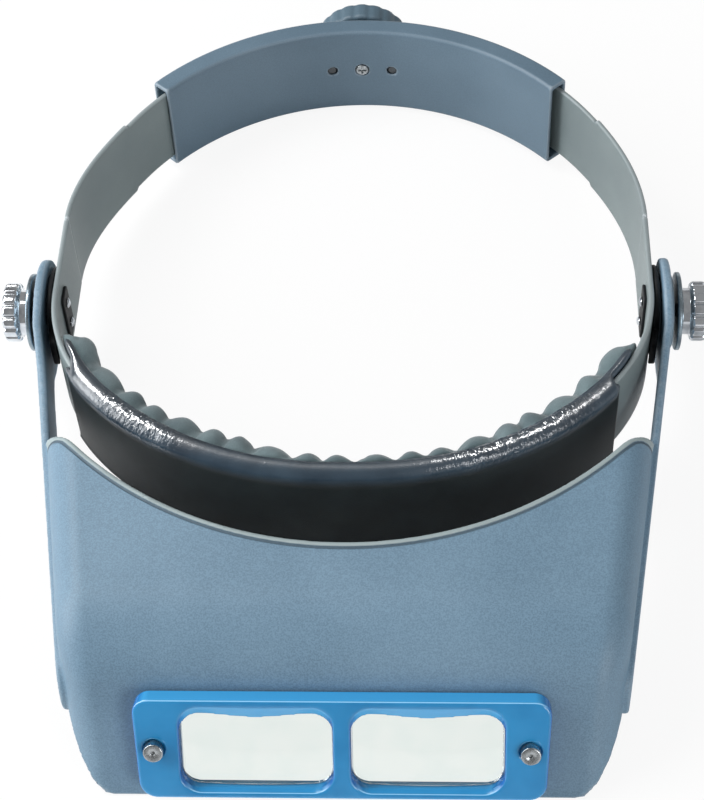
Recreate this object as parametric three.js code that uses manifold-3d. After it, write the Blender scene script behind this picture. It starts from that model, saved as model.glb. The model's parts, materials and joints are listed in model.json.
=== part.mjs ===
// Head visor magnifier: a flat-strip headband with a padded brow, a hinged
// visor shell with side arms, and a release-fit plate that carries two lenses.
//
// Everything is laid out in the headband frame, in millimetres:
//   origin  midpoint of the visor's pivot axis
//   +X      wearer's left-to-right as seen from the front, -Y forward, +Z up
// The whole assembly is then tilted so that it rests on the lower edge of the
// visor and the lower edge of the rear sleeve, with the floor at z = 0.

import * as THREE from 'three';
import { mergeVertices } from 'three/addons/utils/BufferGeometryUtils.js';
import Module from 'manifold-3d';

const wasm = await Module();
wasm.setup();

const RUN_GAP = 0.3;
const CIRCLE_STEPS = 24;
const SMALL_CIRCLE_STEPS = 16;
const SMALL_RADIUS = 3;
const CORNER_STEPS = 3;
const BROW_STEPS = 44;
const SLEEVE_STEPS = 36;
const TAIL_STEPS = 48;
const degrees = THREE.MathUtils.degToRad;

// Headband strip, given by the centre line of the strip in plan.
const band = {
  halfWidth: 84.3,
  frontDepth: 63,
  frontCentreY: -3,
  frontFullness: 2.1,
  rearCentreY: 24.3,
  thickness: 1.5,
  height: 28,
  tailHeight: 26,
  tailThickness: 1.4,
  tailStepAngle: degrees(61),
  tailOverlapAngle: degrees(24),
  tailBlendAngle: degrees(58),
  splitGap: 0.4,
};

// Rear sleeve: a curved rectangular tube around both strip tails.
const sleeve = {
  innerRadius: 78.5,
  outerRadius: 84.9,
  wall: 1.0,
  edgeWall: 1.4,
  height: 31.6,
  endAngle: degrees(48.5),
  screwHoleRadius: 2.3,
  shaftHoleRadius: 3.5,
  guideHoleRadius: 1.65,
  guideOffset: 9.8,
};

// Size adjuster: a pinion turned by the rear knob runs in a toothed slot in
// each tail, one rack above the pinion and one below it.
const gear = {
  module: 1.5,
  teeth: 8,
  addendum: 1.2,
  dedendum: 1.8,
  toothWidth: 1.8,
  backlash: 0.2,
  flank: Math.tan(degrees(20)),
  slotHalfLength: 20.5,
  slotPlainEdge: 7.8,
  guideRadius: 1.4,
};
const knob = {
  radius: 15,
  lobes: 20,
  lobeDepth: 0.35,
  collarRadius: 8,
  start: 109.6,
  step: 111.4,
  end: 118,
};

// Visor pivot stack, as distances from the centre plane.
const pivot = {
  bracketInner: 85.35,
  bracketOuter: 86.7,
  frictionInner: 86.9,
  armInner: 87.5,
  armOuter: 89.9,
  springInner: 90.1,
  springOuter: 91.8,
  washerInner: 92.1,
  washerOuter: 93.4,
  hubInner: 93.7,
  nutInner: 96.4,
  nutOuter: 100.9,
  studRadius: 1.9,
  boreRadius: 2.2,
  studEnd: 99.2,
  boreEnd: 99.9,
  bracketRadius: 13.4,
  bracketCutAngle: degrees(145),
  flangeEndY: -16.5,
  flangeHalfHeight: 5,
  flangeThickness: 1.8,
  washerRadius: 11.2,
  springRadius: 10.6,
  frictionRadius: 10,
  hubRadius: 6.6,
  nutRadius: 8.7,
  nutLobes: 14,
  nutLobeDepth: 0.7,
};
const rivet = { spacing: 8.4, shankRadius: 1.1, headRadius: 1.6, headHeight: 0.7 };
const backing = { width: 7, height: 17, thickness: 0.8 };

// Visor shell: a hollow hood open at the back and below, with a side arm on
// each wall that runs back to the pivot.
const visor = {
  wall: 2.2,
  frontLean: degrees(28.6),
  topSlope: degrees(5),
  bendY: -112.7,
  bendZ: 4.3,
  bendRadius: 12,
  frontHeight: 47.2,
  lowerCorner: 13,
  edgeRadius: 10,
  wallRearY: -46,
  shoulderY: -50,
  lowerRearZ: -20.5,
  scoopRadius: 105,
  scoopY: -85.1,
  hornX: 76.4,
  armDip: degrees(11),
  armLength: 120,
  armEndRadius: 14.5,
  armHalfWidth: 10,
  armNeck: 34,
  ribProud: 1.5,
  toeInStartY: -14,
  toeIn: 0.152,
};

// Lens plate, in its own frame: X across, Y up the plate, Z out of its face.
const plate = {
  width: 105.5,
  height: 29,
  thickness: 5.2,
  cornerRadius: 4.6,
  bevel: 0.7,
  centreY: -131.8,
  centreZ: -19.3,
  apertureWidth: 39.8,
  apertureHeight: 26.4,
  apertureRadius: 7,
  apertureX: 22,
  windowHalfWidth: 43.5,
  windowHalfHeight: 12.8,
  pinX: 48.2,
  pinHoleRadius: 1.8,
  pinRadius: 1.5,
  pinHeadRadius: 2.6,
  pinHeadHeight: 1.6,
  pinRecessRadius: 1.0,
  pinLength: 9,
  lensThickness: 3.4,
};

// Brow pad: a cover wrapped over the strip and a ribbed pad inside it.
const brow = {
  coverStartAngle: degrees(26),
  coverEndAngle: degrees(161.5),
  coverInner: 1.05,
  coverOuter: 2.6,
  coverHalfHeight: 15.8,
  coverDrop: 17.4,
  rollRadius: 2.4,
  padStartAngle: degrees(16),
  padOuter: -1.1,
  padValley: -2.4,
  padCrest: -4.8,
  padExtraOnLeft: 4.6,
  padExtraOnRight: 3.6,
  padHalfHeight: 13.2,
  ribs: 19,
};

const colours = {
  shell: { color: 0x7c93a6, roughness: 0.5, metalness: 0.0 },
  strap: { color: 0x7d8a8d, roughness: 0.45, metalness: 0.0 },
  sleeve: { color: 0x5c7384, roughness: 0.45, metalness: 0.0 },
  knob: { color: 0x54707c, roughness: 0.45, metalness: 0.0 },
  plate: { color: 0x3a94cf, roughness: 0.25, metalness: 0.0 },
  lens: { color: 0xe8f4f4, roughness: 0.03, metalness: 0.0, transparent: true, opacity: 0.35 },
  vinyl: { color: 0x2b3a44, roughness: 0.35, metalness: 0.0 },
  pad: { color: 0x6c7f88, roughness: 0.9, metalness: 0.0 },
  bracket: { color: 0x15181b, roughness: 0.5, metalness: 0.4 },
  chrome: { color: 0xd5d9dc, roughness: 0.12, metalness: 1.0 },
  steel: { color: 0x9aa4aa, roughness: 0.3, metalness: 1.0 },
  friction: { color: 0x68808e, roughness: 0.6, metalness: 0.0 },
  rubber: { color: 0x1a1c1e, roughness: 0.8, metalness: 0.0 },
  resin: { color: 0xc9ccc4, roughness: 0.5, metalness: 0.0 },
};

// ---------------------------------------------------------------- solids

function solid(geometry) {
  const bare = geometry.clone();
  bare.deleteAttribute('normal');
  bare.deleteAttribute('uv');
  const merged = mergeVertices(bare, 1e-4);
  return new wasm.Manifold(new wasm.Mesh({
    numProp: 3,
    vertProperties: new Float32Array(merged.attributes.position.array),
    triVerts: new Uint32Array(merged.index.array),
  }));
}

function geometryOf(manifold) {
  const mesh = manifold.getMesh();
  const geometry = new THREE.BufferGeometry();
  geometry.setAttribute('position', new THREE.BufferAttribute(new Float32Array(mesh.vertProperties), 3));
  geometry.setIndex(new THREE.BufferAttribute(new Uint32Array(mesh.triVerts), 1));
  geometry.computeVertexNormals();
  return geometry;
}

const cut = (base, ...tools) => (
  geometryOf(tools.reduce((body, tool) => body.subtract(solid(tool)), solid(base)))
);
const join = (base, ...more) => (
  geometryOf(more.reduce((body, extra) => body.add(solid(extra)), solid(base)))
);
const common = (base, ...more) => (
  geometryOf(more.reduce((body, extra) => body.intersect(solid(extra)), solid(base)))
);

// Moves every vertex by a function that edits it in place.
function reshape(geometry, edit) {
  const position = geometry.attributes.position;
  const point = new THREE.Vector3();
  for (let i = 0; i < position.count; i += 1) {
    point.fromBufferAttribute(position, i);
    edit(point);
    position.setXYZ(i, point.x, point.y, point.z);
  }
  geometry.computeVertexNormals();
  return geometry;
}

// Extrusions of a flat outline along one axis of the headband frame.
function prism(outline, low, high, basis) {
  const options = { depth: high - low, bevelEnabled: false, curveSegments: CORNER_STEPS };
  const geometry = new THREE.ExtrudeGeometry(outline, options);
  geometry.translate(0, 0, low);
  return geometry.applyMatrix4(basis);
}

const axisX = new THREE.Vector3(1, 0, 0);
const axisY = new THREE.Vector3(0, 1, 0);
const axisZ = new THREE.Vector3(0, 0, 1);
const alongZ = new THREE.Matrix4();
const alongX = new THREE.Matrix4().makeBasis(axisY, axisZ, axisX);
const alongMinusY = new THREE.Matrix4().makeBasis(axisX, axisZ, axisY.clone().negate());

const prismZ = (outline, low, high) => prism(outline, low, high, alongZ);
const prismX = (outline, low, high) => prism(outline, low, high, alongX);
const prismY = (outline, low, high) => prism(outline, -high, -low, alongMinusY);

function ringPoints(radius, x = 0, y = 0) {
  const count = radius < SMALL_RADIUS ? SMALL_CIRCLE_STEPS : CIRCLE_STEPS;
  return Array.from({ length: count }, (_, i) => {
    const angle = (2 * Math.PI * i) / count;
    return new THREE.Vector2(x + radius * Math.cos(angle), y + radius * Math.sin(angle));
  });
}

const circle = (radius, x = 0, y = 0) => new THREE.Shape(ringPoints(radius, x, y));

function disc(outline, holeRadius) {
  const shape = outline.clone();
  shape.holes.push(new THREE.Path(ringPoints(holeRadius)));
  return shape;
}

// A circle with shallow rounded lobes, as on a finger nut or knob.
function lobedOutline(radius, lobes, depth, steps = 4) {
  const points = [];
  for (let i = 0; i < lobes * steps; i += 1) {
    const angle = (2 * Math.PI * i) / (lobes * steps);
    const r = radius - depth * (0.5 + 0.5 * Math.cos(lobes * angle));
    points.push(new THREE.Vector2(r * Math.cos(angle), r * Math.sin(angle)));
  }
  return new THREE.Shape(points);
}

function roundedRectangle(halfWidth, halfHeight, radius, x = 0, y = 0) {
  const shape = new THREE.Shape();
  shape.absarc(x + halfWidth - radius, y - halfHeight + radius, radius, -Math.PI / 2, 0, false);
  shape.absarc(x + halfWidth - radius, y + halfHeight - radius, radius, 0, Math.PI / 2, false);
  shape.absarc(x - halfWidth + radius, y + halfHeight - radius, radius, Math.PI / 2, Math.PI, false);
  shape.absarc(x - halfWidth + radius, y - halfHeight + radius, radius, Math.PI, 1.5 * Math.PI, false);
  return shape;
}

// ------------------------------------------------------- headband plan

// Point of the brow curve, a half-ellipse made slightly fuller; 0 is the right
// temple and PI the left.
function browPoint(angle, offset) {
  const power = 2 / band.frontFullness;
  const across = Math.sign(Math.cos(angle)) * Math.abs(Math.cos(angle)) ** power;
  const x = (band.halfWidth + offset) * across;
  const y = band.frontCentreY - (band.frontDepth + offset) * Math.sin(angle) ** power;
  return new THREE.Vector2(x, y);
}

function arcSteps(from, to, count, pointAt) {
  return Array.from({ length: count + 1 }, (_, i) => pointAt(from + ((to - from) * i) / count));
}

// Outer and inner edges of a strip along the brow, with a bump on the inner one.
function browBand(inner, outer, start, count, bump = () => 0) {
  const end = Math.PI - start;
  const outside = arcSteps(start, end, count, (a) => browPoint(a, outer));
  const inside = arcSteps(end, start, count, (a) => browPoint(a, inner + bump(a)));
  return [outside, inside];
}

// Point at an angle from the rear of the centre plane, clockwise seen from above.
function rearPoint(angle, radius) {
  return new THREE.Vector2(radius * Math.sin(angle), band.rearCentreY + radius * Math.cos(angle));
}

function rearSector(innerRadius, outerRadius, from, to, count) {
  const outside = arcSteps(to, from, count, (a) => rearPoint(a, outerRadius));
  const inside = arcSteps(from, to, count, (a) => rearPoint(a, innerRadius));
  return new THREE.Shape([...outside, ...inside]);
}

// Mean radii of the two tails inside the sleeve: left inside, right outside.
const channel = { low: sleeve.innerRadius + sleeve.wall, high: sleeve.outerRadius - sleeve.wall };
const tailClear = 0.5;
const tailRadius = {
  left: channel.low + tailClear + band.tailThickness / 2,
  right: channel.high - tailClear - band.tailThickness / 2,
};

function strapFront() {
  const half = band.thickness / 2;
  const rear = band.rearCentreY - band.splitGap / 2;
  const [outside, inside] = browBand(-half, half, 0, BROW_STEPS);
  const outline = new THREE.Shape([
    new THREE.Vector2(band.halfWidth + half, rear),
    ...outside,
    new THREE.Vector2(-band.halfWidth - half, rear),
    new THREE.Vector2(-band.halfWidth + half, rear),
    ...inside,
    new THREE.Vector2(band.halfWidth - half, rear),
  ]);
  const blank = prismZ(outline, -band.height / 2, band.height / 2);
  const holes = [-1, 1].flatMap((level) => {
    const hole = circle(rivet.shankRadius + RUN_GAP / 2, 0, (level * rivet.spacing) / 2);
    const reach = band.halfWidth + 5;
    return [prismX(hole, -reach, -reach + 10), prismX(hole, reach - 10, reach)];
  });
  return cut(blank, ...holes);
}

// One tail of the strip. It narrows at a step, spirals in to its radius in the
// sleeve, and carries a slot with rack teeth on one edge.
function strapTail(side) {
  const radius = side < 0 ? tailRadius.left : tailRadius.right;
  const half = band.tailThickness / 2;
  const splitAngle = Math.PI / 2 - band.splitGap / 2 / band.halfWidth;
  const lineRadius = (angle) => {
    const share = THREE.MathUtils.smoothstep(angle, band.tailBlendAngle, Math.PI / 2);
    return radius + (band.halfWidth - radius) * share;
  };
  const edge = (offset) => arcSteps(-band.tailOverlapAngle, splitAngle, TAIL_STEPS, (angle) => {
    return rearPoint(angle, lineRadius(angle) + offset);
  });
  const outline = new THREE.Shape([...edge(half).reverse(), ...edge(-half)]);
  const blank = prismZ(outline, -band.height / 2, band.height / 2);
  const far = band.halfWidth + 10;
  const narrow = rearSector(10, far, -degrees(50), band.tailStepAngle, 12);
  const top = prismZ(narrow, band.tailHeight / 2, band.height);
  const bottom = prismZ(narrow, -band.height, -band.tailHeight / 2);
  const slot = prismY(rackSlot(side < 0 ? 1 : -1), band.rearCentreY + 20, band.rearCentreY + far);
  const tail = cut(blank, top, bottom, slot);
  return side < 0 ? mirrorX(tail) : tail;
}

// Tails are shaped as right-hand pieces; the left one is their mirror image.
function mirrorX(geometry) {
  const mirrored = mergeVertices(geometry.clone().scale(-1, 1, 1));
  const index = mirrored.index;
  for (let i = 0; i < index.count; i += 3) {
    const first = index.getX(i);
    index.setX(i, index.getX(i + 2));
    index.setX(i + 2, first);
  }
  mirrored.computeVertexNormals();
  return mirrored;
}

// Slot outline in X and Z with rack teeth on the upper (+1) or lower (-1) edge.
function rackSlot(edge) {
  const pitch = Math.PI * gear.module;
  const pitchLine = (gear.module * gear.teeth) / 2;
  const tip = pitchLine - gear.addendum;
  const root = pitchLine + gear.dedendum;
  const tipHalf = gear.toothWidth / 2 - gear.addendum * gear.flank;
  const rootHalf = gear.toothWidth / 2 + gear.dedendum * gear.flank;
  const count = Math.floor((gear.slotHalfLength - rootHalf) / pitch);
  const points = [new THREE.Vector2(-gear.slotHalfLength, root)];
  for (let i = -count; i < count; i += 1) {
    const x = (i + 0.5) * pitch;
    points.push(new THREE.Vector2(x - rootHalf, root));
    points.push(new THREE.Vector2(x - tipHalf, tip));
    points.push(new THREE.Vector2(x + tipHalf, tip));
    points.push(new THREE.Vector2(x + rootHalf, root));
  }
  points.push(new THREE.Vector2(gear.slotHalfLength, root));
  points.push(new THREE.Vector2(gear.slotHalfLength, -gear.slotPlainEdge));
  points.push(new THREE.Vector2(-gear.slotHalfLength, -gear.slotPlainEdge));
  return new THREE.Shape(points.map((p) => new THREE.Vector2(p.x, p.y * edge)));
}

function rearSleeve() {
  const end = sleeve.endAngle;
  const half = sleeve.height / 2;
  const walls = rearSector(sleeve.innerRadius, sleeve.outerRadius, -end, end, SLEEVE_STEPS);
  const body = prismZ(walls, -half, half);
  const past = end + degrees(3);
  const hollow = rearSector(channel.low, channel.high, -past, past, SLEEVE_STEPS);
  const cavity = prismZ(hollow, -half + sleeve.edgeWall, half - sleeve.edgeWall);
  const middle = band.rearCentreY + (channel.low + channel.high) / 2;
  const screwHole = prismY(circle(sleeve.screwHoleRadius), middle - 10, middle);
  const shaftHole = prismY(circle(sleeve.shaftHoleRadius), middle, middle + 10);
  const guides = [-1, 1].map((side) => {
    const hole = circle(sleeve.guideHoleRadius, side * sleeve.guideOffset);
    return prismY(hole, middle - 10, middle);
  });
  return cut(body, cavity, screwHole, shaftHole, ...guides);
}

const rearInner = band.rearCentreY + sleeve.innerRadius;
const pinionStart = band.rearCentreY + channel.low + 0.4;
const pinionEnd = band.rearCentreY + channel.high - 0.6;
const screwRadius = 1.2;
const screwBore = 1.45;

function guidePin(side) {
  const sag = channel.high - Math.sqrt(channel.high ** 2 - (sleeve.guideOffset + 2) ** 2);
  const low = rearInner + 0.1;
  const high = band.rearCentreY + channel.high - sag - RUN_GAP / 3;
  return prismY(circle(gear.guideRadius, side * sleeve.guideOffset), low, high);
}

function pinionOutline() {
  const pitchRadius = (gear.module * gear.teeth) / 2;
  const tip = pitchRadius + gear.addendum;
  const root = pitchRadius - gear.dedendum;
  const pitchHalf = (gear.toothWidth - gear.backlash) / 2;
  const tipHalf = pitchHalf - gear.addendum * gear.flank;
  const rootHalf = pitchHalf + 0.1;
  const points = [];
  for (let i = 0; i < gear.teeth; i += 1) {
    const turn = (2 * Math.PI * i) / gear.teeth;
    const corners = [[root, -rootHalf], [pitchRadius, -pitchHalf], [tip, -tipHalf],
      [tip, tipHalf], [pitchRadius, pitchHalf], [root, rootHalf]];
    for (const [along, across] of corners) {
      points.push(new THREE.Vector2(along, across).rotateAround(new THREE.Vector2(), turn));
    }
  }
  return new THREE.Shape(points);
}

function adjusterPinion() {
  const teeth = prismY(disc(pinionOutline(), screwBore), pinionStart, pinionEnd);
  const shaft = prismY(disc(circle(gear.module * 2), screwBore), pinionEnd - 1, knob.start - RUN_GAP);
  return join(teeth, shaft);
}

function adjusterKnob() {
  const collar = prismY(circle(knob.collarRadius), knob.start, knob.step + 1);
  const wheel = new THREE.ExtrudeGeometry(lobedOutline(knob.radius - 1, knob.lobes, knob.lobeDepth), {
    depth: knob.end - knob.step - 2,
    bevelEnabled: true,
    bevelThickness: 1,
    bevelSize: 1,
    bevelSegments: 1,
  });
  wheel.translate(0, 0, -knob.end + 1);
  wheel.applyMatrix4(alongMinusY);
  const bore = prismY(circle(screwBore), knob.start - 1, knob.step + 3);
  return cut(join(collar, wheel), bore);
}

function knobScrew() {
  const head = prismY(circle(sleeve.screwHoleRadius - RUN_GAP), rearInner - 0.2, rearInner + 1.1);
  const shank = prismY(circle(screwRadius), rearInner + 1, knob.step + 2.6);
  const slots = [[0.3, 1.3], [1.3, 0.3]].map(([x, y]) => {
    return prismY(roundedRectangle(x, y, 0.2), rearInner - 1, rearInner + 0.5);
  });
  return cut(join(head, shank), ...slots);
}

// ---------------------------------------------------------- brow pad

function sweatbandCover() {
  const half = brow.coverHalfHeight;
  const strapTop = band.height / 2;
  const roll = brow.rollRadius;
  const rollOffset = brow.coverOuter - roll + 0.5;
  const profile = new THREE.Shape();
  profile.moveTo(-brow.coverInner, strapTop + RUN_GAP);
  profile.lineTo(brow.coverInner, strapTop + RUN_GAP);
  profile.lineTo(brow.coverInner, -strapTop - RUN_GAP);
  profile.lineTo(-brow.coverInner - 0.9, -strapTop - RUN_GAP);
  profile.lineTo(-brow.coverInner - 0.9, -brow.coverDrop);
  profile.lineTo(brow.coverOuter - 0.8, -brow.coverDrop);
  profile.lineTo(brow.coverOuter, -brow.coverDrop + 0.8);
  profile.lineTo(brow.coverOuter, strapTop - 2.6);
  profile.absarc(rollOffset, strapTop - 0.4, roll, -degrees(40), degrees(120), false);
  profile.lineTo(-brow.coverInner, half);
  const options = { depth: 1, steps: BROW_STEPS, bevelEnabled: false, curveSegments: CORNER_STEPS };
  const geometry = new THREE.ExtrudeGeometry(profile, options);
  return reshape(geometry, (p) => {
    const angle = brow.coverStartAngle + p.z * (brow.coverEndAngle - brow.coverStartAngle);
    const plan = browPoint(angle, p.x);
    p.set(plan.x, plan.y, p.y);
  });
}

// The pad is thicker along its sides than over the middle of the brow.
function sweatbandPad() {
  const start = brow.padStartAngle;
  const span = Math.PI - 2 * start;
  const bump = (angle) => {
    const wave = Math.abs(Math.sin(((angle - start) / span) * brow.ribs * Math.PI));
    const left = THREE.MathUtils.smoothstep(-Math.cos(angle), 0.05, 0.5);
    const right = THREE.MathUtils.smoothstep(Math.cos(angle), 0.3, 0.65);
    const extra = brow.padExtraOnLeft * left + brow.padExtraOnRight * right;
    return (brow.padCrest - brow.padValley) * wave - extra;
  };
  const [outside, inside] = browBand(brow.padValley, brow.padOuter, start, brow.ribs * 5, bump);
  return prismZ(new THREE.Shape([...outside, ...inside]), -brow.padHalfHeight, brow.padHalfHeight);
}

// --------------------------------------------------------- pivot parts

// Each pivot part is shaped on the right-hand side and mirrored for the left.
const sided = (side, geometry) => (side < 0 ? mirrorX(geometry) : geometry);

// Plan of everything inside a line that runs at an offset from the strip.
function insideStrip(offset) {
  const [edge] = browBand(0, offset, 0, BROW_STEPS);
  const reach = band.halfWidth + offset;
  return new THREE.Shape([new THREE.Vector2(reach, 60), ...edge, new THREE.Vector2(-reach, 60)]);
}

// A round lobe cut off square in front, with a flange that runs on along the strip.
function pivotBracket(side) {
  const lobe = new THREE.Shape();
  lobe.absarc(0, 0, pivot.bracketRadius, -pivot.bracketCutAngle, pivot.bracketCutAngle, false);
  const lowX = pivot.bracketInner - 8;
  const clear = band.thickness / 2 + RUN_GAP;
  const strapSpace = insideStrip(clear);
  const flangeHalf = -pivot.flangeEndY / 2;
  const flangeOutline = roundedRectangle(flangeHalf, pivot.flangeHalfHeight, 2, -flangeHalf);
  const flangeSpace = prismZ(insideStrip(clear + pivot.flangeThickness), -40, 40);
  const flange = common(prismX(flangeOutline, lowX, pivot.bracketOuter), flangeSpace);
  const blank = join(prismX(lobe, lowX, pivot.bracketOuter), flange);
  const stud = prismX(circle(pivot.studRadius + RUN_GAP), 60, 100);
  const rivets = [-1, 1].map((level) => {
    return prismX(circle(rivet.shankRadius + RUN_GAP / 2, 0, (level * rivet.spacing) / 2), 60, 100);
  });
  return sided(side, cut(blank, prismZ(strapSpace, -40, 40), stud, ...rivets));
}

function backingPlate(side) {
  const face = band.halfWidth - band.thickness / 2 - RUN_GAP / 3;
  const outline = roundedRectangle(backing.width / 2, backing.height / 2, 1.5);
  const blank = prismX(outline, face - backing.thickness, face);
  const holes = [-1, 1].map((level) => {
    return prismX(circle(rivet.shankRadius + RUN_GAP / 2, 0, (level * rivet.spacing) / 2), 60, 100);
  });
  return sided(side, cut(blank, ...holes));
}

function bracketRivet(side, level) {
  const z = (level * rivet.spacing) / 2;
  const face = band.halfWidth - band.thickness / 2 - backing.thickness - RUN_GAP;
  const shank = prismX(circle(rivet.shankRadius, 0, z), face - 0.2, pivot.bracketOuter - 0.1);
  const domeSteps = 3;
  const profile = [new THREE.Vector2(0, -0.1)];
  for (let i = 0; i <= domeSteps; i += 1) {
    const angle = (i / domeSteps) * (Math.PI / 2);
    profile.push(new THREE.Vector2(rivet.headRadius * Math.cos(angle), rivet.headHeight * Math.sin(angle)));
  }
  profile[profile.length - 1].x = 0;
  profile.splice(1, 0, new THREE.Vector2(rivet.headRadius, -0.1));
  const head = new THREE.LatheGeometry(profile, SMALL_CIRCLE_STEPS);
  head.rotateZ(Math.PI / 2);
  head.translate(face, 0, z);
  return sided(side, join(shank, head));
}

function pivotStud(side) {
  const head = prismX(circle(pivot.studRadius + 0.2), pivot.bracketInner + 0.05, pivot.bracketInner + 0.9);
  const shank = prismX(circle(pivot.studRadius), pivot.bracketInner + 0.4, pivot.studEnd);
  return sided(side, join(head, shank));
}

function washer(side, radius, inner, outer, bore = pivot.boreRadius) {
  return sided(side, prismX(disc(circle(radius), bore), inner, outer));
}

function thumbNut(side) {
  const hub = prismX(circle(pivot.hubRadius), pivot.hubInner, pivot.nutInner + 1);
  const bevel = 0.9;
  const outline = lobedOutline(pivot.nutRadius - bevel, pivot.nutLobes, pivot.nutLobeDepth);
  const wheel = new THREE.ExtrudeGeometry(outline, {
    depth: pivot.nutOuter - pivot.nutInner - 2 * bevel,
    bevelEnabled: true,
    bevelThickness: bevel,
    bevelSize: bevel,
    bevelSegments: 1,
  });
  wheel.translate(0, 0, pivot.nutInner + bevel);
  wheel.applyMatrix4(alongX);
  const bore = prismX(circle(pivot.boreRadius), pivot.hubInner - 1, pivot.boreEnd);
  return sided(side, cut(join(hub, wheel), bore));
}

// --------------------------------------------------------- visor shell

const frontUp = new THREE.Vector3(0, Math.sin(visor.frontLean), Math.cos(visor.frontLean));
const frontOut = new THREE.Vector3(0, -Math.cos(visor.frontLean), Math.sin(visor.frontLean));
const frontBasis = new THREE.Matrix4().makeBasis(axisX, frontUp, frontOut);
const bend = new THREE.Vector3(0, visor.bendY, visor.bendZ);
const wallHalf = pivot.armOuter - visor.ribProud;
const topZ = (y) => visor.bendZ + (y - visor.bendY) * Math.tan(visor.topSlope);
const toeInAt = (y) => visor.toeIn * Math.min(0, y - visor.toeInStartY);

// Side profile of the hood in Y and Z, drawn inside its outer faces by inset.
function hoodProfile(inset, open) {
  const lean = visor.frontLean;
  const turn = Math.PI / 2 - lean - visor.topSlope;
  const frontLine = (up) => new THREE.Vector2(
    bend.y + frontUp.y * up - frontOut.y * inset,
    bend.z + frontUp.z * up - frontOut.z * inset,
  );
  const drop = inset / Math.cos(visor.topSlope);
  const slope = Math.tan(visor.topSlope);
  const foot = frontLine(0);
  const rise = topZ(foot.x) - drop - foot.y;
  const apex = rise / (frontUp.z - frontUp.y * slope);
  const radius = visor.bendRadius - inset;
  const tangent = radius * Math.tan(turn / 2);
  const start = frontLine(apex - tangent);
  const centre = start.clone().add(new THREE.Vector2(-frontOut.y, -frontOut.z).multiplyScalar(radius));
  const bottom = frontLine(-visor.frontHeight - (open ? 30 : 0));
  const shape = new THREE.Shape();
  const rear = open ? 20 : 0;
  const below = open ? -40 : 0;
  shape.moveTo(bottom.x, bottom.y);
  shape.lineTo(visor.wallRearY + rear, visor.lowerRearZ + below);
  if (open) {
    shape.lineTo(visor.wallRearY + rear, topZ(visor.wallRearY + rear) - drop);
  } else {
    shape.lineTo(visor.wallRearY, -6);
    shape.lineTo(visor.shoulderY + 1, topZ(visor.shoulderY) - 4);
    shape.lineTo(visor.shoulderY - 2, topZ(visor.shoulderY - 2));
  }
  const frontAngle = Math.atan2(frontOut.z, frontOut.y);
  shape.absarc(centre.x, centre.y, radius, frontAngle - turn, frontAngle, false);
  return shape;
}

// The hood's outer or inner form: its side profile, narrowed by rounded edges
// along the top and along the front. The edge arcs stand a hair outside the
// walls, so that they cross the wall planes cleanly.
function hood(inset, open) {
  const half = wallHalf - (inset ? inset + 0.3 : 0);
  const side = prismX(hoodProfile(inset, open), -half, half);
  const radius = visor.edgeRadius - inset * 0.6;
  const crossing = radius + 0.03;
  const across = new THREE.Shape();
  across.moveTo(-half - 5, -90);
  across.lineTo(half + 5, -90);
  across.lineTo(half + 5, -radius);
  across.absarc(half - radius, -radius, crossing, 0, Math.PI / 2, false);
  across.absarc(-half + radius, -radius, crossing, Math.PI / 2, Math.PI, false);
  across.lineTo(-half - 5, -radius);
  const tunnel = reshape(prismY(across, -150, 0), (p) => {
    p.z += topZ(p.y) - inset / Math.cos(visor.topSlope);
  });
  const upright = new THREE.Matrix4().makeBasis(axisX, frontOut, frontUp.clone().negate());
  const frontEdges = prism(across, -90, 90, upright);
  frontEdges.translate(0, bend.y - frontOut.y * inset, bend.z - frontOut.z * inset);
  return common(side, tunnel, frontEdges);
}

function taperToVisor(geometry) {
  return reshape(geometry, (p) => {
    p.x *= (wallHalf + toeInAt(p.y)) / wallHalf;
  });
}

// Cutter that rounds one lower corner of the hood, seen square to its front.
function lowerCorner(side) {
  const low = -visor.frontHeight;
  const rx = visor.lowerCorner / 0.79;
  const ry = visor.lowerCorner;
  const outline = new THREE.Shape();
  outline.moveTo(wallHalf - rx, low - 4);
  outline.lineTo(wallHalf + 4, low - 4);
  outline.lineTo(wallHalf + 4, low + ry);
  outline.absellipse(wallHalf - rx, low + ry, rx, ry, 0, -Math.PI / 2, true);
  const cutter = prism(outline, -60, 20, frontBasis);
  cutter.translate(0, bend.y, bend.z);
  return sided(side, cutter);
}

function scoop() {
  const centreY = visor.scoopY + visor.scoopRadius;
  const endAngle = Math.asin(visor.hornX / visor.scoopRadius);
  const points = arcSteps(-endAngle, endAngle, SLEEVE_STEPS, (angle) => {
    const x = visor.scoopRadius * Math.sin(angle);
    return new THREE.Vector2(x, centreY - visor.scoopRadius * Math.cos(angle));
  });
  points.push(new THREE.Vector2(visor.hornX, 0), new THREE.Vector2(-visor.hornX, 0));
  return prismZ(new THREE.Shape(points), -80, 80);
}

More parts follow.
